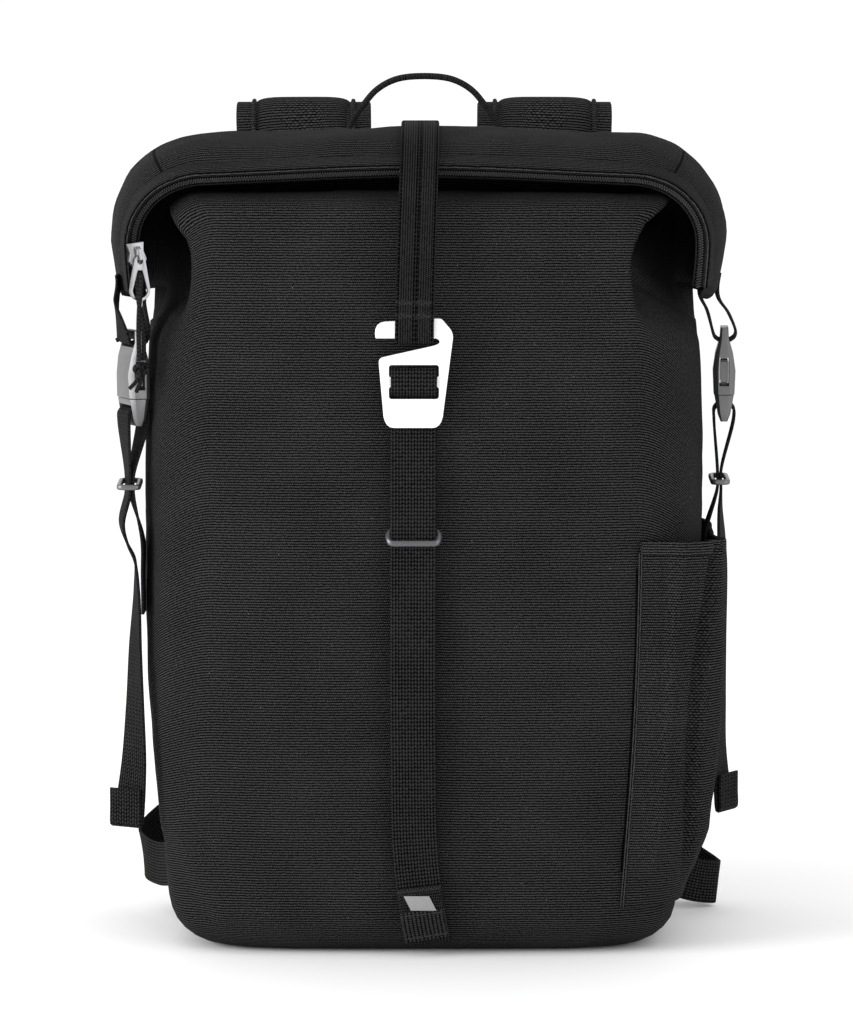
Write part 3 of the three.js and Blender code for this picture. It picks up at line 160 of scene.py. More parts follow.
# %% [markdown]
# ## Cloth of the bag
#
# The bag is woven from coarse black yarn. Its weft lies in horizontal ribs a millimetre and a half apart,
# and each rib is crossed by finer warp threads. The ribs follow the cloth's own map, so they bend with
# its folds. The colour follows the weave's height: raised floats are painted lighter, as painted highlight,
# and the hollows darker, as painted shade. Slow noise varies the tone, and a few pale specks are painted
# glints. A seam is a groove whose colour is darkened as painted shade, with one row of stitches on each side.

# %% Cloth finish
RIB, THREAD = 0.00145, 0.00105
# The two ends of the cloth's colour ramp, as shares of its tone: the dark end is painted shade in the weave's
# hollows, the light end painted highlight on its floats.
CLOTH_DARK, CLOTH_LIGHT, CLOTH_SHINE = 0.02, 4.1, 0.03
# Pale specks painted as glints on the yarn: their tone, and the share of cells that they cover.
GLINT_TONE, GLINT_SHARE = (0.16, 0.16, 0.165), 0.035
SEAM_HALF, SEAM_EDGE, STITCH_OFF, STITCH_PITCH = 0.0004, 0.0011, 0.0028, 0.0032


def cloth_finish(name, tone, seams=(), depth=0.00042):
    """seams: each a place across the map and the start and end of its run up the map, in metres."""
    material, shader, wire = new_finish(name)
    place, across, up = along_cloth(wire)
    wobble = place.node("ShaderNodeTexNoise", {"Vector": place, "Scale": 260.0, "Detail": 2.0})
    row = up / RIB + (wobble - 0.5) * 0.5
    even = (row * 0.5).fraction() > 0.5
    column = across / THREAD + even * 0.5 + (wobble - 0.5) * 0.6
    height = row.wave() * (column.wave() * 0.65 + 0.4)
    slow = place.node("ShaderNodeTexNoise", {"Vector": place, "Scale": 22.0, "Detail": 3.0})
    yarn = place.node("ShaderNodeTexNoise", {"Vector": place, "Scale": 900.0, "Detail": 2.0})
    # Painted glints: pale specks in a few cells of a fine Voronoi pattern, where the slow noise is high.
    glint_cells = place.node("ShaderNodeTexVoronoi", {"Vector": place, "Scale": 150.0}, feature="F1")
    glint_speck = (glint_cells < GLINT_SHARE) * (slow > 0.5)
    # Painted light on the weave: the colour rises with the weave's height, painted highlight on raised floats
    # and painted shade in hollows; the yarn and slow noise add real random tone.
    shade = height * 1.25 + (yarn - 0.5) * 1.4 + (slow - 0.5) * 0.3 - 0.11
    colour = shade.mixed(scaled(tone, CLOTH_DARK), scaled(tone, CLOTH_LIGHT))
    for centre, start, end in seams:
        inside = (up > start) * (up < end)
        off = (across - centre).abs()
        groove = (1 - off.smooth(SEAM_HALF, SEAM_EDGE)) * inside
        # Painted shade: the colour in each seam's groove is darkened towards 0.15 of the tone.
        colour = (groove * 0.85).mixed(colour, scaled(tone, 0.15))
        height = height - groove * 3.0
        thread = 1 - (off - STITCH_OFF).abs().smooth(0.0002, 0.0005)
        stitch = thread * ((up / STITCH_PITCH).fraction() > 0.3) * inside
        height = height - stitch * 1.2
    # The painted glints are laid over the colour.
    colour = glint_speck.mixed(colour, GLINT_TONE)
    put(shader, "Base Color", colour)
    put(shader, "Roughness", 0.92 - height * 0.12)
    put(shader, "Normal", bumped(height, depth))
    shader.inputs["Specular IOR Level"].default_value = CLOTH_SHINE
    return material


QUARTER = 0.233  # a quarter of the girth, in metres
FLAP_SEAMS = ((0.3185, 0.60, 0.80), (-0.320, 0.60, 0.80))
POCKET_SEAM = (0.1227, 0.12, 0.289)
bag_cloth = cloth_finish("bag_cloth", (0.0122, 0.0122, 0.0122), seams=(*FLAP_SEAMS, POCKET_SEAM))
pad_cloth = cloth_finish("pad_cloth", (0.0139, 0.0139, 0.0139), depth=0.0003)
print("cloths:", bag_cloth.name, pad_cloth.name)

# %% [markdown]
# ## Webbing
#
# Webbing is woven narrow and dense: rows of small floats run along it in columns, and a rounded selvedge
# closes each edge. Its colour follows the weave's height, so floats, selvedge ribs and stitched bands are
# painted lighter, as painted highlight, and hollows and stitch holes darker, as painted shade. The map runs
# across the strap in its first number and along it in its second.

# %% Webbing finish
INK = (0.0048, 0.0048, 0.0048)
# The two ends of the webbing's colour ramp, as shares of its tone: painted shade in the hollows, painted
# highlight on the floats.
WEB_DARK, WEB_LIGHT, WEB_SHINE = 0.01, 5.2, 0.04
STITCH = 0.0024  # from one stitch to the next, in metres


def webbing_finish(name, tone, width, columns=13, pitch=0.0021, slant=0.5, lines=(), bands=()):
    """lines: stitch rows along the strap, at a place across it. bands: stitched stretches, start and end."""
    material, shader, wire = new_finish(name)
    place, across, up = along_cloth(wire)
    wobble = place.node("ShaderNodeTexNoise", {"Vector": place, "Scale": 500.0, "Detail": 2.0})
    column = across * (columns / width) + 0.5
    side = (column.floor() * 0.5).fraction() * 4 - 1
    float_row = up / pitch + (column.fraction() - 0.5) * slant * side + (wobble - 0.5) * 0.35
    height = (float_row.wave() * 0.7 + 0.3) * (column.wave() ** 0.7 * 0.85 + 0.15)
    edge = across.abs().smooth(width / 2 - 0.0014, width / 2 - 0.0006)
    height = height * (1 - edge * 0.35) + edge * (up / 0.0011).wave() * 0.3
    for centre in lines:
        off = (across - centre).abs()
        stitch = (1 - off.smooth(0.0003, 0.0006)) * ((up / STITCH).fraction() > 0.25)
        height = height - stitch * 0.9
    for start, end in bands:
        inside = (up > start) * (up < end)
        zigzag = ((up / STITCH + (across / 0.003).wave()).fraction() - 0.5).abs()
        height = height + inside * (zigzag < 0.22) * 0.9
    slow = place.node("ShaderNodeTexNoise", {"Vector": place, "Scale": 45.0, "Detail": 2.0})
    # Painted light on the webbing: the colour rises with the weave's height, painted highlight on floats and
    # painted shade in hollows and stitch holes, with random tone from noise.
    shade = height * 1.6 + (slow - 0.5) * 0.4 + (wobble - 0.5) * 0.9 - 0.22
    put(shader, "Base Color", shade.mixed(scaled(tone, WEB_DARK), scaled(tone, WEB_LIGHT)))
    put(shader, "Roughness", 0.85 - height * 0.15)
    put(shader, "Normal", bumped(height, 0.0004))
    shader.inputs["Specular IOR Level"].default_value = WEB_SHINE
    return material


print("webbing colour", INK)

# %% [markdown]
# ## Metal, lacquer and film
#
# The hook is cast aluminium with a fine pale lacquer, the zip's slider is brushed steel, and the buckles and
# keepers are grey lacquered metal. Their tone and roughness vary by noise on Object coordinates.

# %% Hard finishes
EVEN_GRAIN, BRUSHED_GRAIN = (900, 900, 900), (300, 300, 2500)


def hard_finish(name, tone, metallic, roughness, grain=0.0, grain_scale=EVEN_GRAIN, spread=0.12, coat=0.0):
    """spread: how far the tone varies. grain: the height of the surface's grain, in metres."""
    material, shader, wire = new_finish(name)
    place = wire.node("ShaderNodeTexCoord", out=3)
    stretched = place.node("ShaderNodeMapping", {"Vector": place, "Scale": grain_scale})
    fine = stretched.node("ShaderNodeTexNoise", {"Vector": stretched, "Scale": 1.0, "Detail": 4.0})
    slow = place.node("ShaderNodeTexNoise", {"Vector": place, "Scale": 60.0, "Detail": 3.0})
    shade = fine * 0.5 + slow * 0.5
    put(shader, "Base Color", shade.mixed(scaled(tone, 1 - spread), scaled(tone, 1 + spread)))
    put(shader, "Roughness", roughness + (fine - 0.5) * 0.16 + (slow - 0.5) * 0.1)
    if grain:
        put(shader, "Normal", bumped(fine, grain, 0.5))
    shader.inputs["Metallic"].default_value = metallic
    shader.inputs["Coat Weight"].default_value = coat
    shader.inputs["Coat Roughness"].default_value = 0.3
    return material


FINE = 0.00003  # grain of lacquered metal, in metres
hook_metal = hard_finish("hook_metal", (0.86, 0.86, 0.86), 0.25, 0.42, grain=FINE, spread=0.03, coat=0.2)
slider_metal = hard_finish("slider_metal", (0.26, 0.26, 0.265), 0.95, 0.3, grain=FINE,
                           grain_scale=BRUSHED_GRAIN)
keeper_metal = hard_finish("keeper_metal", (0.115, 0.115, 0.12), 0.85, 0.34, grain=0.00002, spread=0.2)
buckle_grey = hard_finish("buckle_grey", (0.135, 0.135, 0.138), 0.75, 0.38, grain=FINE, spread=0.08,
                          coat=0.15)
coil_plastic = hard_finish("zip_coil", (0.022, 0.022, 0.023), 0.0, 0.42, spread=0.2)
adjuster_plastic = hard_finish("adjuster_plastic", (0.016, 0.016, 0.017), 0.0, 0.5, grain=0.00004,
                               spread=0.15)
reflective = hard_finish("reflective", (0.24, 0.24, 0.245), 0.2, 0.5, spread=0.03)
print("hard finishes:", [m.name for m in (hook_metal, slider_metal, keeper_metal, buckle_grey, reflective)])

# %% [markdown]
# ## From a flat grid to a surface
#
# Most pieces are a grid that a function bends into place, as cloth is cut flat and then shaped. The grid's
# own map keeps the flat sizes in metres, so the weave keeps its scale. A grid that goes all the way round
# is welded to itself at its seam.

# %% Grid pieces
MM = 0.001


def finish_piece(name, bm, material, slot, replaced=(), sharp=None):
    """Makes a smooth-shaded piece of bm. sharp: the angle from which its edges stay sharp, in degrees."""
    mesh = bpy.data.meshes.new(name)
    bm.to_mesh(mesh)
    bm.free()
    mesh.materials.append(material)
    for face in mesh.polygons:
        face.use_smooth = True
    if sharp:
        mesh.set_sharp_from_angle(angle=math.radians(sharp))
    piece = bpy.data.objects.new(name, mesh)
    bpy.context.scene.collection.objects.link(piece)
    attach(piece, "root")
    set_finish(piece, slot)
    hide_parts(*replaced)
    return piece


def bent_grid(across, along, place, flat):
    """A grid of across by along faces, each corner (column, row) at place, with flat giving its map."""
    bm = bmesh.new()
    layer = bm.loops.layers.uv.new("cloth")
    bmesh.ops.create_grid(bm, x_segments=across, y_segments=along, size=0.5)
    keys = {corner: (round((corner.co.x + 0.5) * across), round((corner.co.y + 0.5) * along))
            for corner in bm.verts}
    for face in bm.faces:
        for loop in face.loops:
            loop[layer].uv = flat(*keys[loop.vert])
    for corner, key in keys.items():
        corner.co = Vector(place(*key)) * MM
    return bm


def weld(bm, distance=1e-5):
    bmesh.ops.remove_doubles(bm, verts=bm.verts, dist=distance)
    bmesh.ops.recalc_face_normals(bm, faces=bm.faces)
    return bm


def thicken(piece, thickness, offset=-1.0):
    """Gives a sheet a thickness in millimetres. offset: -1 grows inward, 0 both ways."""
    wall = piece.modifiers.new("wall", "SOLIDIFY")
    wall.thickness = thickness * MM
    wall.offset = offset
    return piece


print("grid pieces ready")

# %% [markdown]
# ## The bag's surface
#
# The bag is one tube of cloth. Below its shoulders the tube is a rounded box. Above them it narrows to a
# neck, and the flat mouth is folded back and rolled forward into an arch. The same sizes and tables shape
# the solid, so the cloth lies where the solid is. Only the two ears, which are the creased corners under the
# ends of the roll, are pressed in further than there, as the picture shows them.

# %% Sizes and tables
CLOTH, SEAT = 2.0, 0.4
WIDTH, DEPTH, BASE_ROUND = 308.0, 180.0, 26.0
FRONT_SHOULDER, BACK_SHOULDER, SIDE_SHOULDER = 405.0, 402.0, 346.0
SQUARENESS = 5
ROLL_TOP, ROLL_DEPTH, ROLL_HEIGHT, ROLL_BACK = 451.5, 92.0, 32.0, 24.0
BEND_RADIUS, BEND_ANGLE = 51.0, math.radians(98)
HALF_MOUTH, ROLL_SPAN, ROLL_SAG, ROLL_SHIFT = 233.0, 168.5, 5.0, -3.5
ROLL_END_HEIGHT = 0.55
LAYER = CLOTH + 0.5
TUCK = 40.0
# Heights between which an ear's crease deepens, eases by a share and spreads, then its edge and its end.
PINCH_RISE, PINCH_FALL, PINCH_FLARE, PINCH_EASE = (335, 382), (388, 414), (380, 415), 0.55
PINCH_EDGE, PINCH_END = 0.12, (0.74, 0.92)
# Of the left and the right ear: depth, the share where its crease is, and how far that spreads at its top.
PINCH = {-1: (33, 0.57, 0.05), 1: (38, 0.505, 0.06)}
# Of the front and the back: the shares between which the shoulder sinks to the level of the sides.
GUSSET = {-1: (0.52, 0.86), 1: (0.74, 0.98)}
# How steeply the shoulder leaves the wall: a length in front, and a factor on what is left to rise behind.
FRONT_RISE, BACK_RISE = 90, 1.5
# How strongly each ear leans outward, and the shares between which that grows and fades.
EAR_LEAN, EAR_GROWS, EAR_FADES = {-1: 75, 1: 100}, (0.3, 0.54), (0.6, 0.74)
FLAT_HALF = ROLL_SPAN - BEND_RADIUS

# The wall's rows by share of its height, as shares of the full half width and half depth.
WALL_ROWS = {
    "height": (0, 0.14, 0.3, 0.48, 0.68, 0.86, 1),
    "width": (0.91, 0.945, 0.98, 1, 1.005, 1, 0.985),
    "front": (0.93, 0.96, 1, 1.03, 1.03, 1, 0.9),
    "back": (0.95, 0.97, 0.98, 0.98, 0.98, 0.98, 0.97),
}
# The fold from the neck over the top to the zip, as shares of the roll's depth and height.
FOLD_ROWS = {
    "forward": (0.05, 0, 0.09, 0.31, 0.6, 0.84, 1),
    "down": (1, 0.52, 0.14, 0, 0.05, 0.24, 0.62),
}


def cubic(start, end, leave, enter, t):
    """The point at t on the cubic from start to end with these slopes at its ends."""
    gap = end - start
    return start + t * (leave + t * (3 * gap - 2 * leave - enter + t * (leave + enter - 2 * gap)))


def smooth_rows(rows, step):
    """Rows of numbers, each led by a point, on a smooth curve through them, about a step apart.

    Each stretch is a cubic between two rows, which leaves the first and enters the second along the tangents
    of a centripetal Catmull-Rom curve."""
    rows = np.array(rows, float)
    ends = np.vstack([2 * rows[0] - rows[1], rows, 2 * rows[-1] - rows[-2]])
    made = []
    for a, b, c, d in zip(ends, ends[1:], ends[2:], ends[3:]):
        ta, tb, tc = (max(np.linalg.norm((q - p)[:3]), 1e-6) ** 0.5 for p, q in ((a, b), (b, c), (c, d)))
        leave = tb * ((b - a) / ta - (c - a) / (ta + tb)) + (c - b)
        enter = tb * ((d - c) / tc - (d - b) / (tb + tc)) + (c - b)
        count = max(1, round(np.linalg.norm((c - b)[:3]) / step))
        for t in np.arange(count) / count:
            made.append(cubic(b, c, leave, enter, t))
    made.append(rows[-1])
    return np.array(made)


def lengths_of(points):
    return np.concatenate([[0], np.cumsum(np.linalg.norm(np.diff(points[:, :3], axis=0), axis=1))])


TABLE_STEPS = 24


def table_curve(keys, values):
    """A column of a table as dense rows, smooth between its own."""
    keys, values = np.array(keys, float), np.array(values, float)
    last = len(keys) - 1
    spans = [(max(i - 1, 0), min(i + 1, last)) for i in range(last + 1)]
    slopes = [(values[b] - values[a]) / (keys[b] - keys[a]) for a, b in spans]
    xs, ys = [], []
    for i in range(last):
        span = keys[i + 1] - keys[i]
        for t in np.arange(TABLE_STEPS) / TABLE_STEPS:
            xs.append(keys[i] + t * span)
            ys.append(cubic(values[i], values[i + 1], slopes[i] * span, slopes[i + 1] * span, t))
    return np.array(xs + [keys[-1]]), np.array(ys + [values[-1]])


wall_curves = {name: table_curve(WALL_ROWS["height"], WALL_ROWS[name]) for name in ("width", "front", "back")}
fold_line = smooth_rows([(0, ROLL_BACK - forward * ROLL_DEPTH, -down * ROLL_HEIGHT)
                         for forward, down in zip(FOLD_ROWS["forward"], FOLD_ROWS["down"])], 0.5)
fold_lengths = lengths_of(fold_line) / lengths_of(fold_line)[-1]
fold_tangents = np.gradient(fold_line, axis=0)
fold_tangents /= np.linalg.norm(fold_tangents, axis=1)[:, None]
print("the roll's cloth is", round(lengths_of(fold_line)[-1]), "mm from neck to zip")

# %% [markdown]
# ## Points of the bag
#
# Each point of the cloth has a share, which runs from 0 in the middle of the front or back to 1 at the side,
# a sign for right or left, and a face for front or back. Up to the shoulder it lies on a rounded box. On the
# roll it lies on a fold that is carried along an arch, and between them a smooth cubic joins the two.

# %% Points of the bag
def smoothstep(value, low, high):
    t = min(max((value - low) / (high - low), 0), 1)
    return t * t * (3 - 2 * t)


def mix(a, b, t):
    return a + (b - a) * t


def quarter_point(half_width, half_depth, turn):
    power = 2 / SQUARENESS
    return half_width * max(math.sin(turn), 0) ** power, half_depth * max(math.cos(turn), 0) ** power


TURN_STEPS = 4000  # steps in an eighth of the girth
quarter_turns = np.array([(i / TURN_STEPS) ** (SQUARENESS / 2) * math.pi / 4 for i in range(TURN_STEPS + 1)])
quarter_turns = np.concatenate([quarter_turns, math.pi / 2 - quarter_turns[-2::-1]])
quarter_points = np.array([(*quarter_point(WIDTH / 2, DEPTH / 2, turn), 0) for turn in quarter_turns])
quarter_shares = lengths_of(quarter_points) / lengths_of(quarter_points)[-1]


def turn_at(share):
    return float(np.interp(share, quarter_shares, quarter_turns))


def spine(s, sign):
    """The roll's crease seen from the front, s from its middle.

    Gives its place, the normal out of the arch and the direction along it."""
    bend = min(max((s - FLAT_HALF) / BEND_RADIUS, 0), BEND_ANGLE)
    beyond = max(0, s - FLAT_HALF - BEND_RADIUS * BEND_ANGLE)
    x = ROLL_SHIFT + sign * (min(s, FLAT_HALF) + BEND_RADIUS * math.sin(bend) + beyond * math.cos(bend))
    sag = ROLL_SAG * smoothstep(s, 0, FLAT_HALF * 1.3)
    z = ROLL_TOP - sag - BEND_RADIUS * (1 - math.cos(bend)) - beyond * math.sin(bend)
    return x, z, (sign * math.sin(bend), math.cos(bend)), (sign * math.cos(bend), -math.sin(bend))


def end_scale(s):
    return mix(1, ROLL_END_HEIGHT, smoothstep(s, FLAT_HALF, HALF_MOUTH))


def fold_at(w):
    """Place and direction on the fold's line, w from 0 at the neck to 1 at the zip."""
    return [tuple(float(np.interp(w, fold_lengths, rows[:, axis])) for axis in (1, 2))
            for rows in (fold_line, fold_tangents)]


def roll_point(s, sign, w, lift):
    x, z, (nx, nz), _ = spine(s, sign)
    (fy, fz), (ty, tz) = fold_at(w)
    height = end_scale(s) * fz - lift * ty
    return Vector((x + nx * height, fy + lift * tz, z + nz * height))


def roll_direction(s, sign, w):
    _, _, (nx, nz), _ = spine(s, sign)
    _, (ty, tz) = fold_at(w)
    h = end_scale(s) * tz
    return Vector((nx * h, ty, nz * h)).normalized()


def gusset(share, face):
    """How far the cloth at this share of the front or back belongs to the tucked side."""
    return smoothstep(share, *GUSSET[face])


def wall_point(share, sign, face, z, shoulder):
    level = z / shoulder
    width = float(np.interp(level, *wall_curves["width"])) * WIDTH / 2
    depth = float(np.interp(level, *wall_curves["front" if face < 0 else "back"])) * DEPTH / 2
    rise = min(z, BASE_ROUND)
    inset = BASE_ROUND - math.sqrt(BASE_ROUND ** 2 - (BASE_ROUND - rise) ** 2)
    x, y = quarter_point(width - inset, depth - inset, turn_at(share))
    inward = 0
    if face < 0:
        pinch, start, flare = PINCH[sign]
        start += flare * smoothstep(z, *PINCH_FLARE)
        inward = pinch * smoothstep(z, *PINCH_RISE) * (1 - PINCH_EASE * smoothstep(z, *PINCH_FALL))
        inward *= smoothstep(share, start, start + PINCH_EDGE) * (1 - smoothstep(share, *PINCH_END))
    return Vector((sign * (x - inward), face * y, z))


def shoulder_of(share, face):
    return mix(FRONT_SHOULDER if face < 0 else BACK_SHOULDER, SIDE_SHOULDER, gusset(share, face))


def shoulder_point(share, sign, face, t):
    shoulder = shoulder_of(share, face)
    start = wall_point(share, sign, face, shoulder, shoulder)
    end = roll_point(share * HALF_MOUTH, sign, 0, 0 if share == 1 else face * LAYER)
    side = gusset(share, face)
    rise, lean = BACK_RISE * (ROLL_TOP - ROLL_HEIGHT - shoulder), 0
    if face < 0:
        rise = FRONT_RISE
        lean = smoothstep(share, *EAR_GROWS) * (1 - smoothstep(share, *EAR_FADES)) * EAR_LEAN[sign]
    leave = Vector((sign * (lean - TUCK * side), 0, mix(rise, 0.75 * TUCK, side)))
    enter = roll_direction(share * HALF_MOUTH, sign, 0) * mix(ROLL_HEIGHT * 1.3, TUCK, side)
    return cubic(start, end, leave, enter, t)


print("front middle at z 200:", [round(v, 1) for v in wall_point(0, 1, -1, 200, FRONT_SHOULDER)])

# %% [markdown]
# ## Dents and slack
#
# Sewn cloth is never quite smooth. A short table gives the creases that the picture shows, each as a line
# on the bag seen from the front, and slow noise adds the slack of unfilled cloth between them.

# %% Creases
# Each crease: its line as places across and up in millimetres, half width, and depth (negative stands out).
FRONT_CREASES = [
    {"line": ((134, 398), (144, 380), (150, 366)), "width": 8, "depth": -2.6},
    {"line": ((-131, 305), (-126, 200), (-128, 90)), "width": 8, "depth": 1.1},
    {"line": ((-143, 290), (-140, 190), (-139, 70)), "width": 6, "depth": -0.8},
    {"line": ((-141, 57), (-130, 32), (-121, 20)), "width": 5, "depth": 2.2},
    {"line": ((-128, 62), (-116, 36), (-108, 22)), "width": 6, "depth": -1.1},
    {"line": ((112, 60), (122, 35), (138, 24)), "width": 6, "depth": 1.6},
    {"line": ((-60, 12), (0, 9), (60, 12)), "width": 8, "depth": 0.8},
    {"line": ((40, 330), (88, 300), (120, 240)), "width": 22, "depth": 0.9},
    {"line": ((-40, 330), (-86, 290), (-108, 230)), "width": 22, "depth": 0.9},
    {"line": ((-16, 330), (-17, 200), (-16, 60)), "width": 6, "depth": 0.5},
    {"line": ((13, 330), (8, 200), (10, 60)), "width": 6, "depth": 0.5},
]


def off_line(x, z, line):
    """Distance in the plane from a point to a line of points."""
    best = 1e9
    for (x0, z0), (x1, z1) in zip(line, line[1:]):
        dx, dz = x1 - x0, z1 - z0
        t = min(max(((x - x0) * dx + (z - z0) * dz) / (dx * dx + dz * dz), 0), 1)
        best = min(best, math.hypot(x - x0 - t * dx, z - z0 - t * dz))
    return best


def slack(point, size, seed):
    """Slow, even noise of about one unit, for cloth that isn't stretched."""
    return noise.fractal(point / size + Vector((seed, seed, seed)), 0.7, 2.0, 3)


LOOSE = {"wall": 0.9, "shoulder": 1.2, "roll": 1.7}
SLACK_SIZE, SLACK_SEED, CREASE_REACH = 55, 3.7, 2.5


def cloth_relief(point, face, kind):
    """How far the cloth lies off its smooth shape, in millimetres."""
    sunk = 0
    if face < 0 and kind != "roll":
        for crease in FRONT_CREASES:
            off = off_line(point.x, point.z, crease["line"]) / crease["width"]
            if off < CREASE_REACH:
                sunk += crease["depth"] * math.exp(-off * off)
    return LOOSE[kind] * slack(point, SLACK_SIZE, SLACK_SEED) - sunk * (0.5 if kind == "shoulder" else 1)


print("creases:", len(FRONT_CREASES))

# %% [markdown]
# ## Bag shell
#
# The rows of the grid go from the middle of the base up the walls, over the shoulder and round the roll to
# the zip, and its columns go once round the bag. Columns are closer at the corners. The creases and the
# slack then move each point along the normal of the smooth surface.

# %% Bag shell
BASE_STEPS, ROUND_STEPS, WALL_STEPS, SHOULDER_STEPS, FOLD_STEPS = 5, 7, 76, 30, 40
ACROSS = 248
CORNER_PULL = 0.06  # how far the columns are drawn towards the corners, in quarters
CALM_BELOW = 25  # the height under which the cloth's relief fades out, in millimetres
BAG_WALL = 1.2
stations = [("base", k / BASE_STEPS) for k in range(BASE_STEPS)]
stations += [("wall", BASE_ROUND * (1 - math.cos(k / ROUND_STEPS * math.pi / 2))) for k in range(ROUND_STEPS)]
stations += [("share", k / WALL_STEPS) for k in range(WALL_STEPS)]
stations += [("shoulder", k / SHOULDER_STEPS) for k in range(SHOULDER_STEPS)]
stations += [("roll", k / FOLD_STEPS) for k in range(FOLD_STEPS + 1)]


def column_of(i):
    """The share, side and face of a column of the grid, which starts and ends in the middle of the back."""
    turn = (4 * i / ACROSS + 2) % 4
    quarter, part = int(turn), turn % 1
    part += CORNER_PULL * math.sin(2 * math.pi * part)
    return [(part, 1, -1), (1 - part, 1, 1), (part, -1, 1), (1 - part, -1, -1)][quarter]


def girth_of(i):
    """The same place counted in quarters from the middle of the front, for the map."""
    turn = 4 * i / ACROSS - 2
    part = turn % 1
    return math.floor(turn) + part + CORNER_PULL * math.sin(2 * math.pi * part)


def bag_point(i, j):
    share, sign, face = column_of(i)
    kind, value = stations[j]
    if kind == "base":
        return wall_point(share, sign, face, 0, shoulder_of(share, face)) * value
    if kind == "wall":
        return wall_point(share, sign, face, value, shoulder_of(share, face))
    if kind == "share":
        shoulder = shoulder_of(share, face)
        return wall_point(share, sign, face, mix(BASE_ROUND, shoulder, value), shoulder)
    if kind == "shoulder":
        return shoulder_point(share, sign, face, value)
    return roll_point(share * HALF_MOUTH, sign, value, 0 if share == 1 else face * LAYER)


bag_grid = np.array([[bag_point(i, j) for i in range(ACROSS)] for j in range(len(stations))])
front = ACROSS // 2
rise_of = lengths_of(bag_grid[:, front]) * MM
level_way = np.roll(bag_grid, -1, axis=1) - np.roll(bag_grid, 1, axis=1)
flat_up = np.cross(level_way, np.gradient(bag_grid, axis=0))
bag_normals = flat_up / np.maximum(np.linalg.norm(flat_up, axis=2), 1e-9)[:, :, None]


def relieved(i, j):
    """A point of the bag with its relief, which fades out towards the floor and the zip."""
    i %= ACROSS
    point = Vector(bag_grid[j, i])
    kind = {"share": "wall"}.get(stations[j][0], stations[j][0])
    if kind == "base":
        return point
    edge = 1 - smoothstep(stations[j][1], 0.85, 1) if kind == "roll" else 1
    edge *= smoothstep(point.z, 0, CALM_BELOW)
    return point + Vector(bag_normals[j, i]) * cloth_relief(point, column_of(i)[2], kind) * edge


bag = bent_grid(ACROSS, len(stations) - 1, relieved, lambda i, j: (girth_of(i) * QUARTER, rise_of[j]))
bag_piece = finish_piece("bag", weld(bag), bag_cloth, "bag_cloth", ("bag_shell",))
thicken(bag_piece, BAG_WALL)
print("bag faces:", len(bag_piece.data.polygons), "lengths in mm:",
      {name: round(1000 * rise_of[[k for k, s in enumerate(stations) if s[0] == name][0]])
       for name in ("wall", "shoulder", "roll")})

# %% [markdown]
# ## Straps
#
# Every strap of the solid model is a row of four-cornered rings. The rings are read back from the merged
# copy of its mesh, a smooth curve is run through their middles, and a rounded section with its own map is
# swept along it, so that the weave runs along the strap wherever it bends.

# %% Rings of a swept solid
CORNERS, SKEW = 4, 0.02  # corners of a ring, and how far off a rectangle a cap may be, as a share


def merged_copy(node):
    """A solid's mesh with the copies of each corner merged."""
    bm = bmesh.new()
    bm.from_mesh(nodes[node].data)
    bmesh.ops.remove_doubles(bm, verts=bm.verts, dist=2e-6)
    return bm


def rings_of(node):
    """The rings of a loft from one cap to the other, in millimetres, with matching corners.

    A cap is a rectangle whose corners are all joined to each other. Its neighbours form the next ring, and
    corner k of each ring is joined by an edge to corner k of the next one."""
    bm = merged_copy(node)
    near = {v.index: {e.other_vert(v).index for e in v.link_edges} for v in bm.verts}
    place = {v.index: np.array(v.co) * 1000 for v in bm.verts}
    bm.free()
    caps = {frozenset((a, b, c, d)) for a in near for b in near[a] for c in near[a] & near[b]
            for d in near[a] & near[c] if d != b}
    for cap in caps:
        first, *rest = sorted(cap)
        rest.sort(key=lambda v: np.linalg.norm(place[v] - place[first]))
        thin, broad, slanted = (np.linalg.norm(place[v] - place[first]) for v in rest)
        crossing = np.linalg.norm(place[rest[0]] - place[rest[1]])
        if abs(math.hypot(thin, broad) - slanted) + abs(crossing - slanted) > SKEW * slanted:
            continue
        seen, layers = set(cap), [cap]
        while len(seen) < len(near):
            further = set().union(*(near[v] for v in layers[-1])) - seen
            if len(further) != CORNERS:
                break
            layers.append(further)
            seen |= further
        if len(seen) == len(near):
            break
    else:
        raise ValueError(f"{node} has no rings of {CORNERS}")
    ring = (first, rest[1], rest[2], rest[0])  # across, then through the thickness
    rings = [ring]
    for layer in layers[1:]:
        ring = next(order for order in itertools.permutations(layer)
                    if all(b in near[a] for a, b in zip(ring, order)))
        rings.append(ring)
    return np.array([[place[v] for v in ring] for ring in rings])


def strap_rows(node, step=1.6):
    """Point and across direction along a strap from its upper end, and its solid's width and thickness."""
    rings = rings_of(node)
    across = rings[:, 1] - rings[:, 0] + rings[:, 2] - rings[:, 3]
    width = np.linalg.norm(rings[:, 1] - rings[:, 0], axis=1).mean()
    thickness = np.linalg.norm(rings[:, 3] - rings[:, 0], axis=1).mean()
    rows = np.hstack([rings.mean(1), across / np.linalg.norm(across, axis=1)[:, None]])
    if rows[0, 2] < rows[-1, 2]:
        rows = rows[::-1]
    return smooth_rows(rows, step), width, thickness


def framed(rows):
    """Middle, across and outward direction at each row."""
    along = np.gradient(rows[:, :3], axis=0)
    along /= np.linalg.norm(along, axis=1)[:, None]
    out = np.cross(rows[:, 3:6], along)
    out /= np.linalg.norm(out, axis=1)[:, None]
    across = np.cross(along, out)
    return rows[:, :3], across, out


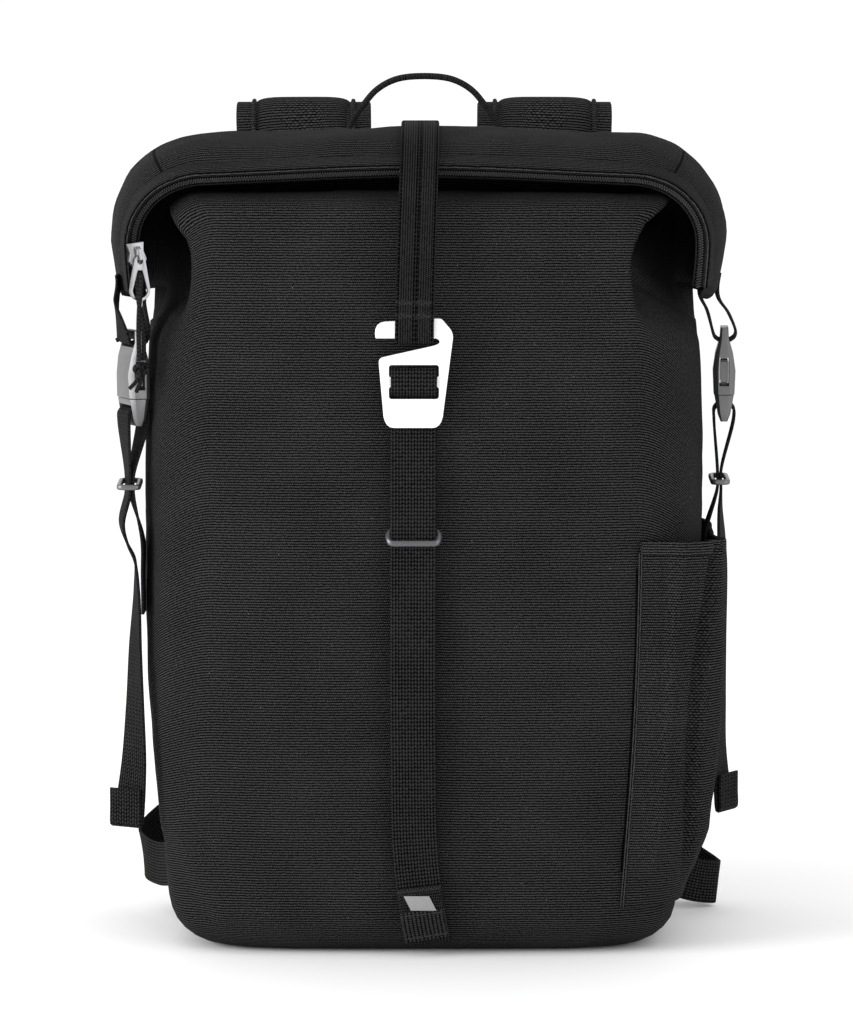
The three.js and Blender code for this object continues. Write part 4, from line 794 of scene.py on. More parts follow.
def swept(rows, section, flat_across=None, turned=False):
    """A closed tube of a section, points as (across, out), along rows of point and across direction.

    turned lays the weave's ribs along the tube."""
    middle, across, out = framed(rows)
    lengths = lengths_of(rows) * MM
    count = len(section)
    around = list(section) + [section[0]]
    flats = flat_across or [a for a, _ in around]

    def place(i, j):
        a, o = around[i % count]
        return middle[j] + across[j] * a + out[j] * o

    bm = bent_grid(count, len(rows) - 1, place,
                   lambda i, j: (lengths[j], flats[i] * MM) if turned else (flats[i] * MM, lengths[j]))
    weld(bm)
    rims = [edge for edge in bm.edges if edge.is_boundary]
    bmesh.ops.holes_fill(bm, edges=rims, sides=0)
    bmesh.ops.recalc_face_normals(bm, faces=bm.faces)
    return bm, lengths[-1]


RIBS = 10
GROOVE_HALF, GROOVE_RIM, GROOVE_FLOOR = 0.7, 0.9, 0.35
SELVEDGE_TURNS = (math.pi / 4, 0, -math.pi / 4)


def band_section(width, thickness, groove=0.0):
    """A flat band with round selvedges. groove sinks the middle of its upper face."""
    half, t = width / 2, thickness / 2
    upper = []
    for k in range(RIBS + 1):
        a = -half + t + (width - 2 * t) * k / RIBS
        upper.append((a, t - groove * math.exp(-(a / GROOVE_HALF) ** 2)))
    if groove:
        sunk = t - groove * 0.8
        upper += [(-GROOVE_RIM, t), (-GROOVE_FLOOR, sunk), (GROOVE_FLOOR, sunk), (GROOVE_RIM, t)]
        upper.sort()
    right = [(half - t * (1 - math.cos(b)), t * math.sin(b)) for b in SELVEDGE_TURNS]
    lower = [(a, -t) for a, _ in upper[::-1]]
    left = [(-half + t * (1 - math.cos(b)), -t * math.sin(b)) for b in SELVEDGE_TURNS]
    return upper + right + lower + left


SOFT_EDGE = 50  # degrees from which the edges of a strap stay sharp
TUCK_FROM, TUCK_OVER = 2, 26  # the stretch from a strap's last end over which its tuck fades


def strap(node, name, slot="webbing", groove=0.0, tuck=0.0, **pattern):
    """tuck draws the last end sideways, so that it lies against the cloth that it is sewn to."""
    rows, width, thickness = strap_rows(node)
    for row, length in zip(rows, lengths_of(rows)[-1] - lengths_of(rows)):
        row[0] += tuck * (1 - smoothstep(length, TUCK_FROM, TUCK_OVER))
    material = webbing_finish(name, INK, width * MM, **pattern)
    bm, length = swept(rows, band_section(width, thickness, groove=groove))
    finish_piece(name, bm, material, slot, (node,), sharp=SOFT_EDGE)
    print(f"{name}: {width:.0f} x {thickness:.1f} mm, {length * 1000:.0f} mm long")


# %% [markdown]
# ## Every strap
#
# The strap over the roll is a doubled tape with a groove and four rows of stitches, and two sewn bands near
# its loop. The others are plain webbing, in finer or coarser weaves. Stitches are placed in metres.

# %% Every strap
strap("over_strap", "roll_band", groove=0.5, columns=16, pitch=0.0011, slant=0.8,
      lines=(-0.0008, 0.0008, -0.0093, 0.0093), bands=((0.2685, 0.2715), (0.2755, 0.2785)))
strap("front_strap", "hook_band", columns=15, pitch=0.0021, slant=0.2)
strap("tail_tab", "tail_fold", columns=24, pitch=0.0016, slant=0.2, bands=((0.0005, 0.003),))
for side, tuck in (("left", 5.0), ("right", -3.0)):
    strap(f"roll_loop_{side}", f"roll_end_loop_{side}", tuck=tuck, columns=12, slant=0.9, pitch=0.0018)
    strap(f"side_strap_{side}", f"side_band_{side}", columns=12, slant=0.6)
    strap(f"lower_webbing_{side}", f"lower_band_{side}", columns=15, slant=0.3)
strap("grab_handle", "handle", columns=9, slant=0.9, pitch=0.0017)

# %% [markdown]
# ## Hem of the centre strap's tail
#
# The tail ends in a folded tape. Its upper half is the window that holds the silver patch. Its lower part
# is a second layer, sewn on along its top and its foot, that lies a little in front. Its cloth is paler.

# %% Hem of the tail
HEM_START, HEM_THICKNESS, HEM_PALER, HEM_WIDER = 13.0, 1.0, 1.35, 0.8
tail_rows, tail_width, tail_thickness = strap_rows("tail_tab")
tail_middle, tail_across, tail_out = framed(tail_rows)
forward = -np.sign(tail_out[:, 1].mean())
hem_rows = np.hstack([tail_middle + tail_out * forward * (tail_thickness + HEM_THICKNESS) / 2, tail_across])
hem_rows = hem_rows[lengths_of(tail_rows) > HEM_START]
hem_finish = webbing_finish("tail_hem", scaled(INK, HEM_PALER), tail_width * MM, columns=11, pitch=0.0013,
                            slant=0.2, bands=((0.0012, 0.0024), (0.0150, 0.0162)))
hem_bm, hem_rise = swept(hem_rows, band_section(tail_width + HEM_WIDER, HEM_THICKNESS))
finish_piece("tail_hem", hem_bm, hem_finish, "webbing", sharp=SOFT_EDGE)
print("tail hem:", round(hem_rise * 1000, 1), "mm high")

# %% [markdown]
# ## Metal and plastic fittings
#
# The hook, the slider, the adjusters and the buckles already have their real outlines as solids. A copy of
# each is merged, its flat triangles are joined into faces, and its edges are rounded with a fine bevel,
# because it is the light on the edges that tells the eye that a thing is cast or moulded. The silver patch
# is cut on a slant, and it sits a little higher and further right than its solid.

# %% Fittings
FLAT_ANGLE, ROUNDED_ANGLE, HARD_EDGE = 1.5, 24, 35
BEVEL_SEGMENTS = 3


def fitting(node, name, material, slot, round_by):
    """A copy of a solid with its edges rounded by so many millimetres."""
    bm = merged_copy(node)
    bmesh.ops.dissolve_limit(bm, angle_limit=math.radians(FLAT_ANGLE), verts=bm.verts, edges=bm.edges)
    edges = [e for e in bm.edges
             if len(e.link_faces) == 2 and e.calc_face_angle(0) > math.radians(ROUNDED_ANGLE)]
    bmesh.ops.bevel(bm, geom=edges, offset=round_by * MM, offset_type="OFFSET", segments=BEVEL_SEGMENTS,
                    profile=0.5, affect="EDGES", clamp_overlap=True, material=-1)
    bmesh.ops.triangulate(bm, faces=[f for f in bm.faces if len(f.verts) > 4])
    piece = finish_piece(name, bm, material, slot, (node,), sharp=HARD_EDGE)
    print(name, len(piece.data.polygons), "faces")
    return piece


fitting("g_hook", "hook", hook_metal, "hook_metal", 0.7)
fitting("zip_slider", "slider", slider_metal, "slider_metal", 0.4)
fitting("zip_puller", "puller", slider_metal, "slider_metal", 0.45)
PATCH_SLANT, PATCH_ASIDE, PATCH_UP = 0.5, 0.0010, 0.0033
patch = fitting("reflective_strip", "night_patch", reflective, "reflective", 0.15)
patch_middle = sum(vertex.co.z for vertex in patch.data.vertices) / len(patch.data.vertices)
for vertex in patch.data.vertices:
    vertex.co.x += PATCH_ASIDE - PATCH_SLANT * (vertex.co.z - patch_middle)
    vertex.co.z += PATCH_UP
for side in ("left", "right"):
    fitting(f"buckle_socket_{side}", f"buckle_body_{side}", buckle_grey, "buckle_grey", 0.8)
    fitting(f"buckle_plug_{side}", f"buckle_prongs_{side}", buckle_grey, "buckle_grey", 0.6)
    fitting(f"strap_adjuster_{side}", f"ladder_lock_{side}", adjuster_plastic, "adjuster_plastic", 0.7)

# %% [markdown]
# ## Keepers
#
# A keeper is a ring of thick wire that holds a strap's tail down. The front one tips as it hangs: its front
# bar lies lower than the bar behind the strap. A round-cornered loop of points is closed on itself, and a
# section with soft corners is swept along it.

# %% Keepers
ARC_STEPS, AROUND_WIRE, SOFT_CORNER = 7, 12, 0.7


def softened(value, power=SOFT_CORNER):
    """A sine or cosine drawn towards 1, so that a circle becomes a square with soft corners."""
    return math.copysign(abs(value) ** power, value)


def ring_piece(node, name, material, slot, wire, tip, corner=3.0):
    """A ring of wire in its solid's box. tip: how far its front bar hangs and its back bar rises."""
    low, high = (1000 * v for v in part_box(node))
    middle, half = (low + high) / 2, (high - low) / 2
    half_x, half_y = half.x - wire / 2, half.y - wire / 2
    loop = []
    for cx, cy, start in ((1, -1, -90), (1, 1, 0), (-1, 1, 90), (-1, -1, 180)):
        for turn in np.linspace(start, start + 90, ARC_STEPS):
            a = math.radians(turn)
            x = cx * (half_x - corner) + corner * math.cos(a)
            y = cy * (half_y - corner) + corner * math.sin(a)
            loop.append(middle + Vector((x, y, tip * y / half_y)))
    section = [(wire * 0.5 * softened(math.cos(t)), wire * 0.55 * softened(math.sin(t)))
               for t in np.linspace(0, 2 * math.pi, AROUND_WIRE, endpoint=False)]

    def place(i, j):
        point, after, before = loop[j % len(loop)], loop[(j + 1) % len(loop)], loop[j - 1]
        along = (after - before).normalized()
        up = (Vector((0, 0, 1)) - along * along.z).normalized()
        a, o = section[i % AROUND_WIRE]
        return point + along.cross(up) * a + up * o

    bm = weld(bent_grid(AROUND_WIRE, len(loop), place, lambda i, j: (i * MM, j * MM)))
    finish_piece(name, bm, material, slot, (node,))
    print(name, "wire", wire, "mm")


ring_piece("front_keeper", "front_ring", keeper_metal, "keeper_metal", 3.3, 3.2)
for side in ("left", "right"):
    ring_piece(f"side_keeper_{side}", f"side_ring_{side}", buckle_grey, "buckle_grey", 2.9, 0.8, corner=2.4)

# %% [markdown]
# ## Zip
#
# The mouth closes with a coil zip: a woven tape, and on it two rows of small nylon loops that hook into each
# other. Each loop is one small bead, copied along the tape, half a pitch apart in the two rows. A rolled
# edge of the bag's own cloth runs along the mouth in front of it.

# %% Zip tape, coil and rolled edge
BEAD_PITCH, BEAD_ACROSS, BEAD_ALONG, BEAD_ASIDE, BEAD_SHIFT = 1.35, 2.0, 1.0, 0.75, 0.33
strap("zip_tape", "zip_tape", slot="zip_tape", columns=7, pitch=0.0012, slant=0.4, lines=(-0.0031, 0.0031))
coil_rows, _, coil_thickness = strap_rows("zip_coil", BEAD_PITCH)
bead = bmesh.new()
bmesh.ops.create_uvsphere(bead, u_segments=8, v_segments=5, radius=0.5)
bead_mesh = bpy.data.meshes.new("bead")
bead.to_mesh(bead_mesh)
bead.free()
bm = bmesh.new()
for middle, across, out in zip(*framed(coil_rows)):
    along = np.cross(out, across)
    for side in (-1, 1):
        centre = middle + across * side * BEAD_ASIDE + along * side * BEAD_SHIFT
        turn = Matrix((across * BEAD_ACROSS, along * BEAD_ALONG, out * coil_thickness)).transposed().to_4x4()
        start = len(bm.verts)
        bm.from_mesh(bead_mesh)
        bm.verts.ensure_lookup_table()
        bmesh.ops.transform(bm, matrix=Matrix.Translation(Vector(centre) * MM) @ Matrix.Scale(MM, 4) @ turn,
                            verts=bm.verts[start:])
bmesh.ops.recalc_face_normals(bm, faces=bm.faces)
coil = finish_piece("zip_teeth", bm, coil_plastic, "zip_coil", ("zip_coil",))
print("zip teeth:", 2 * len(coil_rows), "faces:", len(coil.data.polygons))


EDGE_LIFT, EDGE_PAST, EDGE_INSET, EDGE_STEP = LAYER + 2.1, 2.9, 4, 3.0


def mouth_line():
    """Rows along the mouth's edge: point, and the direction through its two layers."""
    rows = []
    for place in np.arange(EDGE_INSET - HALF_MOUTH, HALF_MOUTH - EDGE_INSET, EDGE_STEP):
        s, sign = abs(place), 1 if place >= 0 else -1
        point = roll_point(s, sign, 1, EDGE_LIFT) + roll_direction(s, sign, 1) * EDGE_PAST
        rows.append((*point, *(roll_point(s, sign, 1, 1) - roll_point(s, sign, 1, -1)).normalized()))
    return np.array(rows)


def round_section(radius, count=10):
    """A circle of points, turning the way that makes the swept tube face outward."""
    turns = np.linspace(2 * math.pi, 0, count, endpoint=False)
    return [(radius * math.cos(turn), radius * math.sin(turn)) for turn in turns]


def flattened(radius, ratio):
    """A round section, wider across by a ratio."""
    return [(a * ratio, o) for a, o in round_section(radius)]


edge_bm, edge_length = swept(mouth_line(), flattened(1.0, 1.3), turned=True)
finish_piece("rolled_edge", edge_bm, pad_cloth, "bag_cloth")
PLACKET_STEPS, PLACKET_WIDTH, PLACKET_PAST, PLACKET_WALL = 8, 12, 3, 0.8
edge_places = np.arange(EDGE_INSET - HALF_MOUTH, HALF_MOUTH - EDGE_INSET + 0.1, EDGE_STEP)


def placket_point(i, j):
    """The strip of cloth between the mouth and its rolled edge, which lifts off the cloth under it."""
    s, sign = abs(edge_places[j]), 1 if edge_places[j] >= 0 else -1
    past = PLACKET_PAST - PLACKET_WIDTH + PLACKET_WIDTH * i / PLACKET_STEPS
    return roll_point(s, sign, 1, LAYER + 0.5 + 1.9 * smoothstep(i, 0, 6)) + roll_direction(s, sign, 1) * past


bm = bent_grid(PLACKET_STEPS, len(edge_places) - 1, placket_point,
               lambda i, j: (edge_places[j] * MM, 0.6 + PLACKET_WIDTH * MM * i / PLACKET_STEPS))
bmesh.ops.recalc_face_normals(bm, faces=bm.faces)
thicken(finish_piece("placket", bm, bag_cloth, "bag_cloth"), PLACKET_WALL, 0)
print("rolled edge:", round(edge_length * 1000), "mm")

# %% [markdown]
# ## Pull cord
#
# A short braided cord is threaded through the zip puller and tied to itself in one knot, so that a gloved
# hand can find it. Its points are the solid's own route, and the braid is a diamond pattern on its map,
# with its crests painted lighter, as painted highlight, and its hollows darker, as painted shade.

# %% Pull cord and knot
SLIDER_SHARE, SLIDER_PAST, PULLER_DOWN, PULLER_OUT = 0.9, 3.36, 3.65, 6.35


def puller_frame():
    """The top of the hanging cord, and the directions to its right and behind it."""
    s = SLIDER_SHARE * HALF_MOUTH
    look = roll_direction(s, -1, 1)
    _, _, _, (down_x, down_z) = spine(s, -1)
    down = Vector((down_x, 0, down_z))
    across = down.cross(look).normalized()
    out = across.cross(down)
    place = roll_point(s, -1, 1, 0) + look * SLIDER_PAST
    leg = place + down * PULLER_DOWN + out * PULLER_OUT
    behind = -Vector((out.x, out.y, 0)).normalized()
    right = behind.cross(Vector((0, 0, 1)))
    return leg, right, behind


# Points of the cord from one cut end round the puller to the other: right, behind and down, in millimetres.
CORD_ROUTE = [
    (-1.6, -2.4, 54), (-1.9, -2.6, 46), (-2.1, -2.8, 37), (-1.9, -3.0, 28), (-1.2, -3.0, 20),
    (-0.4, -2.8, 13), (0, -2.2, 8.4), (0, 0, 6.9), (0, 2.2, 8.6), (0.1, 2.8, 14), (0.4, 2.8, 22),
    (1.2, 1.4, 29), (1.7, -0.4, 37), (1.8, -0.8, 46), (1.6, -1.0, 54),
]
CORD, BRAID_ALONG, BRAID_AROUND = 2.6, 0.0022, 0.0041
leg, right, behind = puller_frame()


def cord_place(r, b, down):
    return leg + right * r + behind * b - Vector((0, 0, down))


def cord_finish(name):
    material, shader, wire = new_finish(name)
    _, around, along = along_cloth(wire)
    first = (along / BRAID_ALONG + around / BRAID_AROUND).wave()
    second = (along / BRAID_ALONG - around / BRAID_AROUND).wave()
    height = first.math("MAXIMUM", first, second)
    # Painted light on the braid: its crests are painted lighter, as painted highlight, and its hollows
    # darker, as painted shade.
    put(shader, "Base Color", height.mixed((0.002, 0.002, 0.0022), (0.017, 0.017, 0.0178)))
    put(shader, "Roughness", 0.85 - height * 0.2)
    put(shader, "Normal", bumped(height, 0.0003))
    shader.inputs["Specular IOR Level"].default_value = WEB_SHINE
    return material


braid = cord_finish("braid")
AROUND_CORD, CORD_STEP, ANY_WAY = 12, 0.9, (0.3, 1, 0.2)


def cord_tube(points, diameter):
    """A tube along a smooth line through the points, its length, and the line in metres.

    The direction across is carried along the line without turning about it."""
    line = smooth_rows([(*point, 0, 0, 0) for point in points], CORD_STEP)
    along = np.gradient(line[:, :3], axis=0)
    line[0, 3:6] = np.cross(along[0], ANY_WAY)
    for k in range(1, len(line)):
        before, way = line[k - 1, 3:6], along[k]
        line[k, 3:6] = before - way * np.dot(before, way) / np.dot(way, way)
    line[:, 3:6] /= np.linalg.norm(line[:, 3:6], axis=1)[:, None]
    turns = [k / AROUND_CORD * math.pi * diameter for k in range(AROUND_CORD + 1)]
    bm, length = swept(line, round_section(diameter / 2, AROUND_CORD), turns)
    return bm, length, line[:, :3] * MM


cord_bm, cord_length, cord_path = cord_tube([cord_place(*place) for place in CORD_ROUTE], CORD)
pull = finish_piece("pull_cord_braid", cord_bm, braid, "cord", ("pull_cord",))
KNOT_PLACE, KNOT_WIDE, KNOT_DEEP, KNOT_HIGH = (0, -1.2, 59.4), 1.25, 1.5, 1.45
knot_middle = cord_place(*KNOT_PLACE)


def knot_point(t):
    """A point of a trefoil knot, t going once round it."""
    wide = KNOT_WIDE * (math.sin(t) + 2 * math.sin(2 * t))
    deep = KNOT_DEEP * -math.sin(3 * t)
    high = KNOT_HIGH * (math.cos(t) - 2 * math.cos(2 * t))
    return knot_middle + right * wide + behind * deep + Vector((0, 0, high))


knot_bm, _, _ = cord_tube([knot_point(t) for t in np.linspace(0, 2 * math.pi, 40)[:-2]], CORD)
knot = finish_piece("pull_knot_braid", knot_bm, braid, "cord", ("pull_knot",))
TAIL_TIPS, TAIL_THINNER, TAIL_BEND = ((-7.5, -1.5, 9.5), (-4.0, -2.2, 11.5)), 0.85, 1.2
for number, (r, b, down) in enumerate(TAIL_TIPS):
    tip = knot_middle + right * r + behind * b - Vector((0, 0, down))
    bend = knot_middle.lerp(tip, 0.5) + right * TAIL_BEND
    tail_bm, _, _ = cord_tube([knot_middle, bend, tip], CORD * TAIL_THINNER)
    tail = finish_piece(f"pull_tail_{number + 1}", tail_bm, braid, "cord")
    tail.parent = knot
print("pull cord:", round(cord_length * 1000), "mm of", CORD, "mm cord")

# %% [markdown]
# ## Side pocket
#
# The pocket is one piece of the bag's cloth that wraps the right side from a seam on the front panel to a
# seam near the back. It stands a finger's width off the bag at its corner. Its upper edge is bound, and
# the loose cloth falls in a few upright folds.

# %% Side pocket
POCKET_FOOT, POCKET_TOP, POCKET_CLOTH, POCKET_BULGE, POCKET_CORNER = 27.0, 230.0, 1.4, 5.2, 9.0
POCKET_START, POCKET_END = 0.53, 1.2  # places round the bag, in quarters from the middle of its front
POCKET_MAP, POCKET_SAG, POCKET_SLACK, FOLD_OUT = 0.30, 2.2, 0.8, 2.2
# Shares of the bulge and of the corner's room, by place round the bag and by share of the height.
POCKET_COLUMNS = {
    "girth": (0.53, 0.56, 0.61, 0.66, 0.71, 0.77, 0.85, 0.93, 1, 1.07, 1.13, 1.17, 1.2),
    "side": (0, 0.25, 0.6, 0.8, 1, 1, 1, 1, 1, 1, 0.7, 0.3, 0),
    "corner": (0, 0.1, 0.6, 1, 1, 0.4, 0, 0, 0, 0, 0, 0, 0),
}
POCKET_ROWS = {"height": (0, 0.04, 0.1, 0.2, 0.4, 0.6, 0.8, 1), "full": (0, 0.2, 0.55, 0.9, 1, 1, 1, 1)}
# Upright folds: place round the bag, drift towards the foot, bow at half height, half width and depth.
POCKET_FOLDS = [
    {"girth": 0.585, "drift": 0.01, "bow": 0.0, "width": 0.010, "depth": 1.3},
    {"girth": 0.62, "drift": -0.02, "bow": 0.01, "width": 0.013, "depth": -2.0},
    {"girth": 0.70, "drift": 0.0, "bow": 0.045, "width": 0.013, "depth": 8.0},
    {"girth": 0.76, "drift": 0.0, "bow": 0.03, "width": 0.02, "depth": -2.0},
    {"girth": 0.88, "drift": 0.04, "bow": 0.0, "width": 0.02, "depth": 1.6},
]


def girth_point(girth, z):
    share, face = (girth, -1) if girth <= 1 else (2 - girth, 1)
    return wall_point(share, 1, face, z, shoulder_of(share, face))


def pocket_point(girth, height, extra):
    """A point of the pocket, girth round the bag and height from 0 to 1, extra outside its inner face."""
    z = mix(POCKET_FOOT, POCKET_TOP, height)
    side, corner = (float(np.interp(girth, POCKET_COLUMNS["girth"], POCKET_COLUMNS[name]))
                    for name in ("side", "corner"))
    full = float(np.interp(height, POCKET_ROWS["height"], POCKET_ROWS["full"]))
    room = full * (side * POCKET_BULGE + corner * POCKET_CORNER)
    level = girth_point(girth + 0.01, z) - girth_point(girth - 0.01, z)
    normal = level.cross(Vector((0, 0, 1))).normalized()
    fold = 0
    for row in POCKET_FOLDS:
        path = row["girth"] + row["drift"] * (1 - height) - row["bow"] * 4 * height * (1 - height)
        off = (girth - path) / row["width"]
        fold -= row["depth"] * math.exp(-off * off) * smoothstep(height, 0.03, 0.2)
    point = girth_point(girth, z)
    sag = POCKET_SAG * math.sin(math.pi * smoothstep(girth, 0.58, 1.1)) * smoothstep(height, 0.8, 1)
    free = smoothstep(height, 0, 0.2) * smoothstep(girth, POCKET_START, 0.58)
    loose = POCKET_SLACK * slack(point, 30, 9.1) * free
    off = SEAT + room + extra + min(fold, FOLD_OUT) * min(side * 2, 1) + loose
    return point + normal * off - Vector((0, 0, sag))


POCKET_ACROSS, POCKET_UP = 96, 110


def pocket_flat(i, j):
    around = QUARTER * (POCKET_END - POCKET_START) * i / POCKET_ACROSS
    return POCKET_MAP + around, (POCKET_TOP - POCKET_FOOT) * MM * j / POCKET_UP


bm = bent_grid(POCKET_ACROSS, POCKET_UP,
               lambda i, j: pocket_point(mix(POCKET_START, POCKET_END, i / POCKET_ACROSS), j / POCKET_UP,
                                         POCKET_CLOTH),
               pocket_flat)
bmesh.ops.recalc_face_normals(bm, faces=bm.faces)
pocket = finish_piece("pocket", bm, bag_cloth, "bag_cloth", ("side_pocket",))
if sum(face.normal.x for face in pocket.data.polygons) < 0:
    pocket.data.flip_normals()
thicken(pocket, POCKET_CLOTH - 0.2)
HEM_HEIGHT, HEM_FULL, HEM_DOWN, TRIM_ROWS = 8, 2.4, Vector((0, 0, 3.4)), 60
hem = np.array([(*(pocket_point(girth, 1, POCKET_CLOTH / 2) - HEM_DOWN), 0, 0, 1)
                for girth in np.linspace(0.535, 1.195, TRIM_ROWS)])
bm, hem_length = swept(hem, band_section(HEM_HEIGHT, HEM_FULL), turned=True)
finish_piece("pocket_hem", bm, pad_cloth, "bag_cloth", sharp=SOFT_EDGE)
seam = np.array([(*pocket_point(0.533, height, 0.9), 1, 0, 0)
                 for height in np.linspace(0.0, 0.97, TRIM_ROWS)])
bm, _ = swept(seam, flattened(0.9, 1.4), turned=True)
finish_piece("pocket_seam", bm, pad_cloth, "bag_cloth")
print("pocket faces:", len(pocket.data.polygons), "hem:", round(hem_length * 1000), "mm")

# %% [markdown]
# ## Shoulder straps
#
# Each strap is a foam pad between two layers of cloth, with a flat cloth wing along both edges and a cord
# of binding where they meet. Foam pulls its cover tight, so the pad is blown up by a short cloth
# simulation: pressure inside, no gravity, and a cap on how far a point may move. The left strap is the
# right one mirrored.

# %% Shoulder straps
PAD_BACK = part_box("shoulder_strap_right")[0].y * 1000 - 0.55
PAD_WIDTH, PAD_THICKNESS, WING, PAD_OUT = 58.0, 11.0, 10.0, 70
PAD_INSET, PAD_FLAT, AROUND_PAD = 1.6, 0.82, 40  # the pad starts narrower and flatter, then it swells
# Behind the bag's back and height in millimetres, place across, and shares of pad, wing and width.
PAD_ROWS = [
    (1.9, 368, 0.9, 0, 0.9, 0.9), (2.5, 388, 0.92, 0.05, 0.9, 0.95), (6, 410, 0.95, 0.4, 1, 1),
    (10, 432, 0.98, 0.8, 1, 1), (17, 457, 1, 1, 1, 1), (27, 464, 1, 1, 1, 1), (39, 460, 1, 1, 1, 1),
    (50, 442, 1, 1, 1, 1), (57, 410, 1, 1, 1, 1), (60, 370, 1, 1, 1, 1), (57, 320, 1.02, 1, 1, 1),
    (49, 270, 1.06, 1, 1, 0.98), (40, 225, 1.12, 0.9, 0.9, 0.85), (33, 187, 1.18, 0.6, 0.6, 0.6),
    (31, 175, 1.2, 0.1, 0.1, 0.41),
]
pad_line = smooth_rows([(PAD_OUT * spread, PAD_BACK + y, z, 1, 0, 0, pad, wing, width)
                        for y, z, spread, pad, wing, width in PAD_ROWS], 3.0)
pad_middle, pad_across, pad_out = framed(pad_line)
pad_lengths = lengths_of(pad_line) * MM


def pad_point(i, j):
    """A point of the foam's cover: a crowned section whose width and thickness follow the strap."""
    pad, _, width = pad_line[j, 6:9]
    turn = 2 * math.pi * i / AROUND_PAD
    half = max(width * PAD_WIDTH / 2 - PAD_INSET, 3)
    thick = max(0.5 * max(pad, 0.05) * PAD_THICKNESS * PAD_FLAT, 0.6)
    a, o = half * softened(math.cos(turn), 0.45), thick * softened(math.sin(turn), 0.8)
    return pad_middle[j] + pad_across[j] * a + pad_out[j] * o


def closed_tube(count, place, flat):
    """A grid that goes round the strap's line, welded at its seam and filled at its ends."""
    bm = weld(bent_grid(count, len(pad_line) - 1, place, flat))
    bmesh.ops.holes_fill(bm, edges=[edge for edge in bm.edges if edge.is_boundary], sides=0)
    bmesh.ops.recalc_face_normals(bm, faces=bm.faces)
    return bm


PRESSURE, STIFFNESS, SWELL_FRAMES, SWELL_CAP = 4.0, 25, 20, 2.0 * MM


def blown_up(piece):
    """Swells a closed piece like foam in its cover, moving no point further than the cap."""
    start = [v.co.copy() for v in piece.data.vertices]
    cloth = piece.modifiers.new("cover", "CLOTH")
    cloth.settings.use_pressure = True
    cloth.settings.uniform_pressure_force = PRESSURE
    cloth.settings.effector_weights.gravity = 0
    cloth.settings.tension_stiffness = STIFFNESS
    cloth.settings.quality = 5
    scene = bpy.context.scene
    cloth.point_cache.frame_start, cloth.point_cache.frame_end = 1, SWELL_FRAMES
    for frame_number in range(1, SWELL_FRAMES + 1):
        scene.frame_set(frame_number)
    blown = piece.evaluated_get(bpy.context.evaluated_depsgraph_get()).data
    moved = [v.co.copy() for v in blown.vertices]
    piece.modifiers.remove(cloth)
    scene.frame_set(1)
    far = 0
    for vertex, a, b in zip(piece.data.vertices, start, moved):
        step = b - a
        if step.length > SWELL_CAP:
            step = step.normalized() * SWELL_CAP
        far = max(far, step.length)
        vertex.co = a + step
    return far / MM


def pad_flat(i, j):
    return math.cos(2 * math.pi * i / AROUND_PAD) * PAD_WIDTH * MM / 2, pad_lengths[j]


pad_bm = closed_tube(AROUND_PAD, pad_point, pad_flat)
pad = finish_piece("shoulder_pad_right", pad_bm, pad_cloth, "pad_cloth", ("shoulder_strap_right",))
print("the pad swelled by up to", round(blown_up(pad), 1), "mm")
WING_EDGE = 60  # degrees from which the edges of the wings and of the left strap stay sharp
WING_SHARES = [-0.985, -0.9, -0.75, -0.4, 0, 0.4, 0.75, 0.9, 0.985]
WING_HALF, WING_FLAT = 1.3, 0.039  # half their thickness in millimetres and half their map's width in metres
wing_ring = [(a, 1) for a in WING_SHARES] + [(1, 0)] + [(a, -1) for a in WING_SHARES[::-1]] + [(-1, 0)]


def wing_point(i, j):
    """A point of the flat cloth that carries the pad and stands out past it on both sides."""
    _, wing, width = pad_line[j, 6:9]
    half = width * PAD_WIDTH / 2 + max(wing, 0.01) * WING
    a, o = wing_ring[i % len(wing_ring)]
    return pad_middle[j] + pad_across[j] * a * half + pad_out[j] * o * WING_HALF


wing_bm = closed_tube(len(wing_ring), wing_point,
                      lambda i, j: (wing_ring[i % len(wing_ring)][0] * WING_FLAT, pad_lengths[j]))
wings = finish_piece("strap_wings_right", wing_bm, pad_cloth, "pad_cloth", ("shoulder_strap_right",),
                     sharp=WING_EDGE)
BINDING, BINDING_IN, BINDING_OUT, BINDING_ENDS = 1.3, 0.2, 1.9, 4
bindings = []
for number, edge in enumerate((-1, 1)):
    rows = []
    for j in range(BINDING_ENDS, len(pad_line) - BINDING_ENDS):
        aside = edge * (pad_line[j, 8] * PAD_WIDTH / 2 - BINDING_IN)
        rows.append((*(pad_middle[j] + pad_across[j] * aside + pad_out[j] * BINDING_OUT), 1, 0, 0))
    bm, _ = swept(np.array(rows), round_section(BINDING))
    bindings.append(finish_piece(f"binding_right_{number + 1}", bm, pad_cloth, "pad_cloth"))


def mirrored(piece, name, replaced=()):
    """The left twin of a right piece, with the same cloth and slot."""
    bm = bmesh.new()
    bm.from_mesh(piece.data)
    bmesh.ops.scale(bm, vec=(-1, 1, 1), verts=bm.verts)
    bmesh.ops.recalc_face_normals(bm, faces=bm.faces)
    return finish_piece(name, bm, piece.data.materials[0], piece["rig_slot"], replaced, sharp=WING_EDGE)


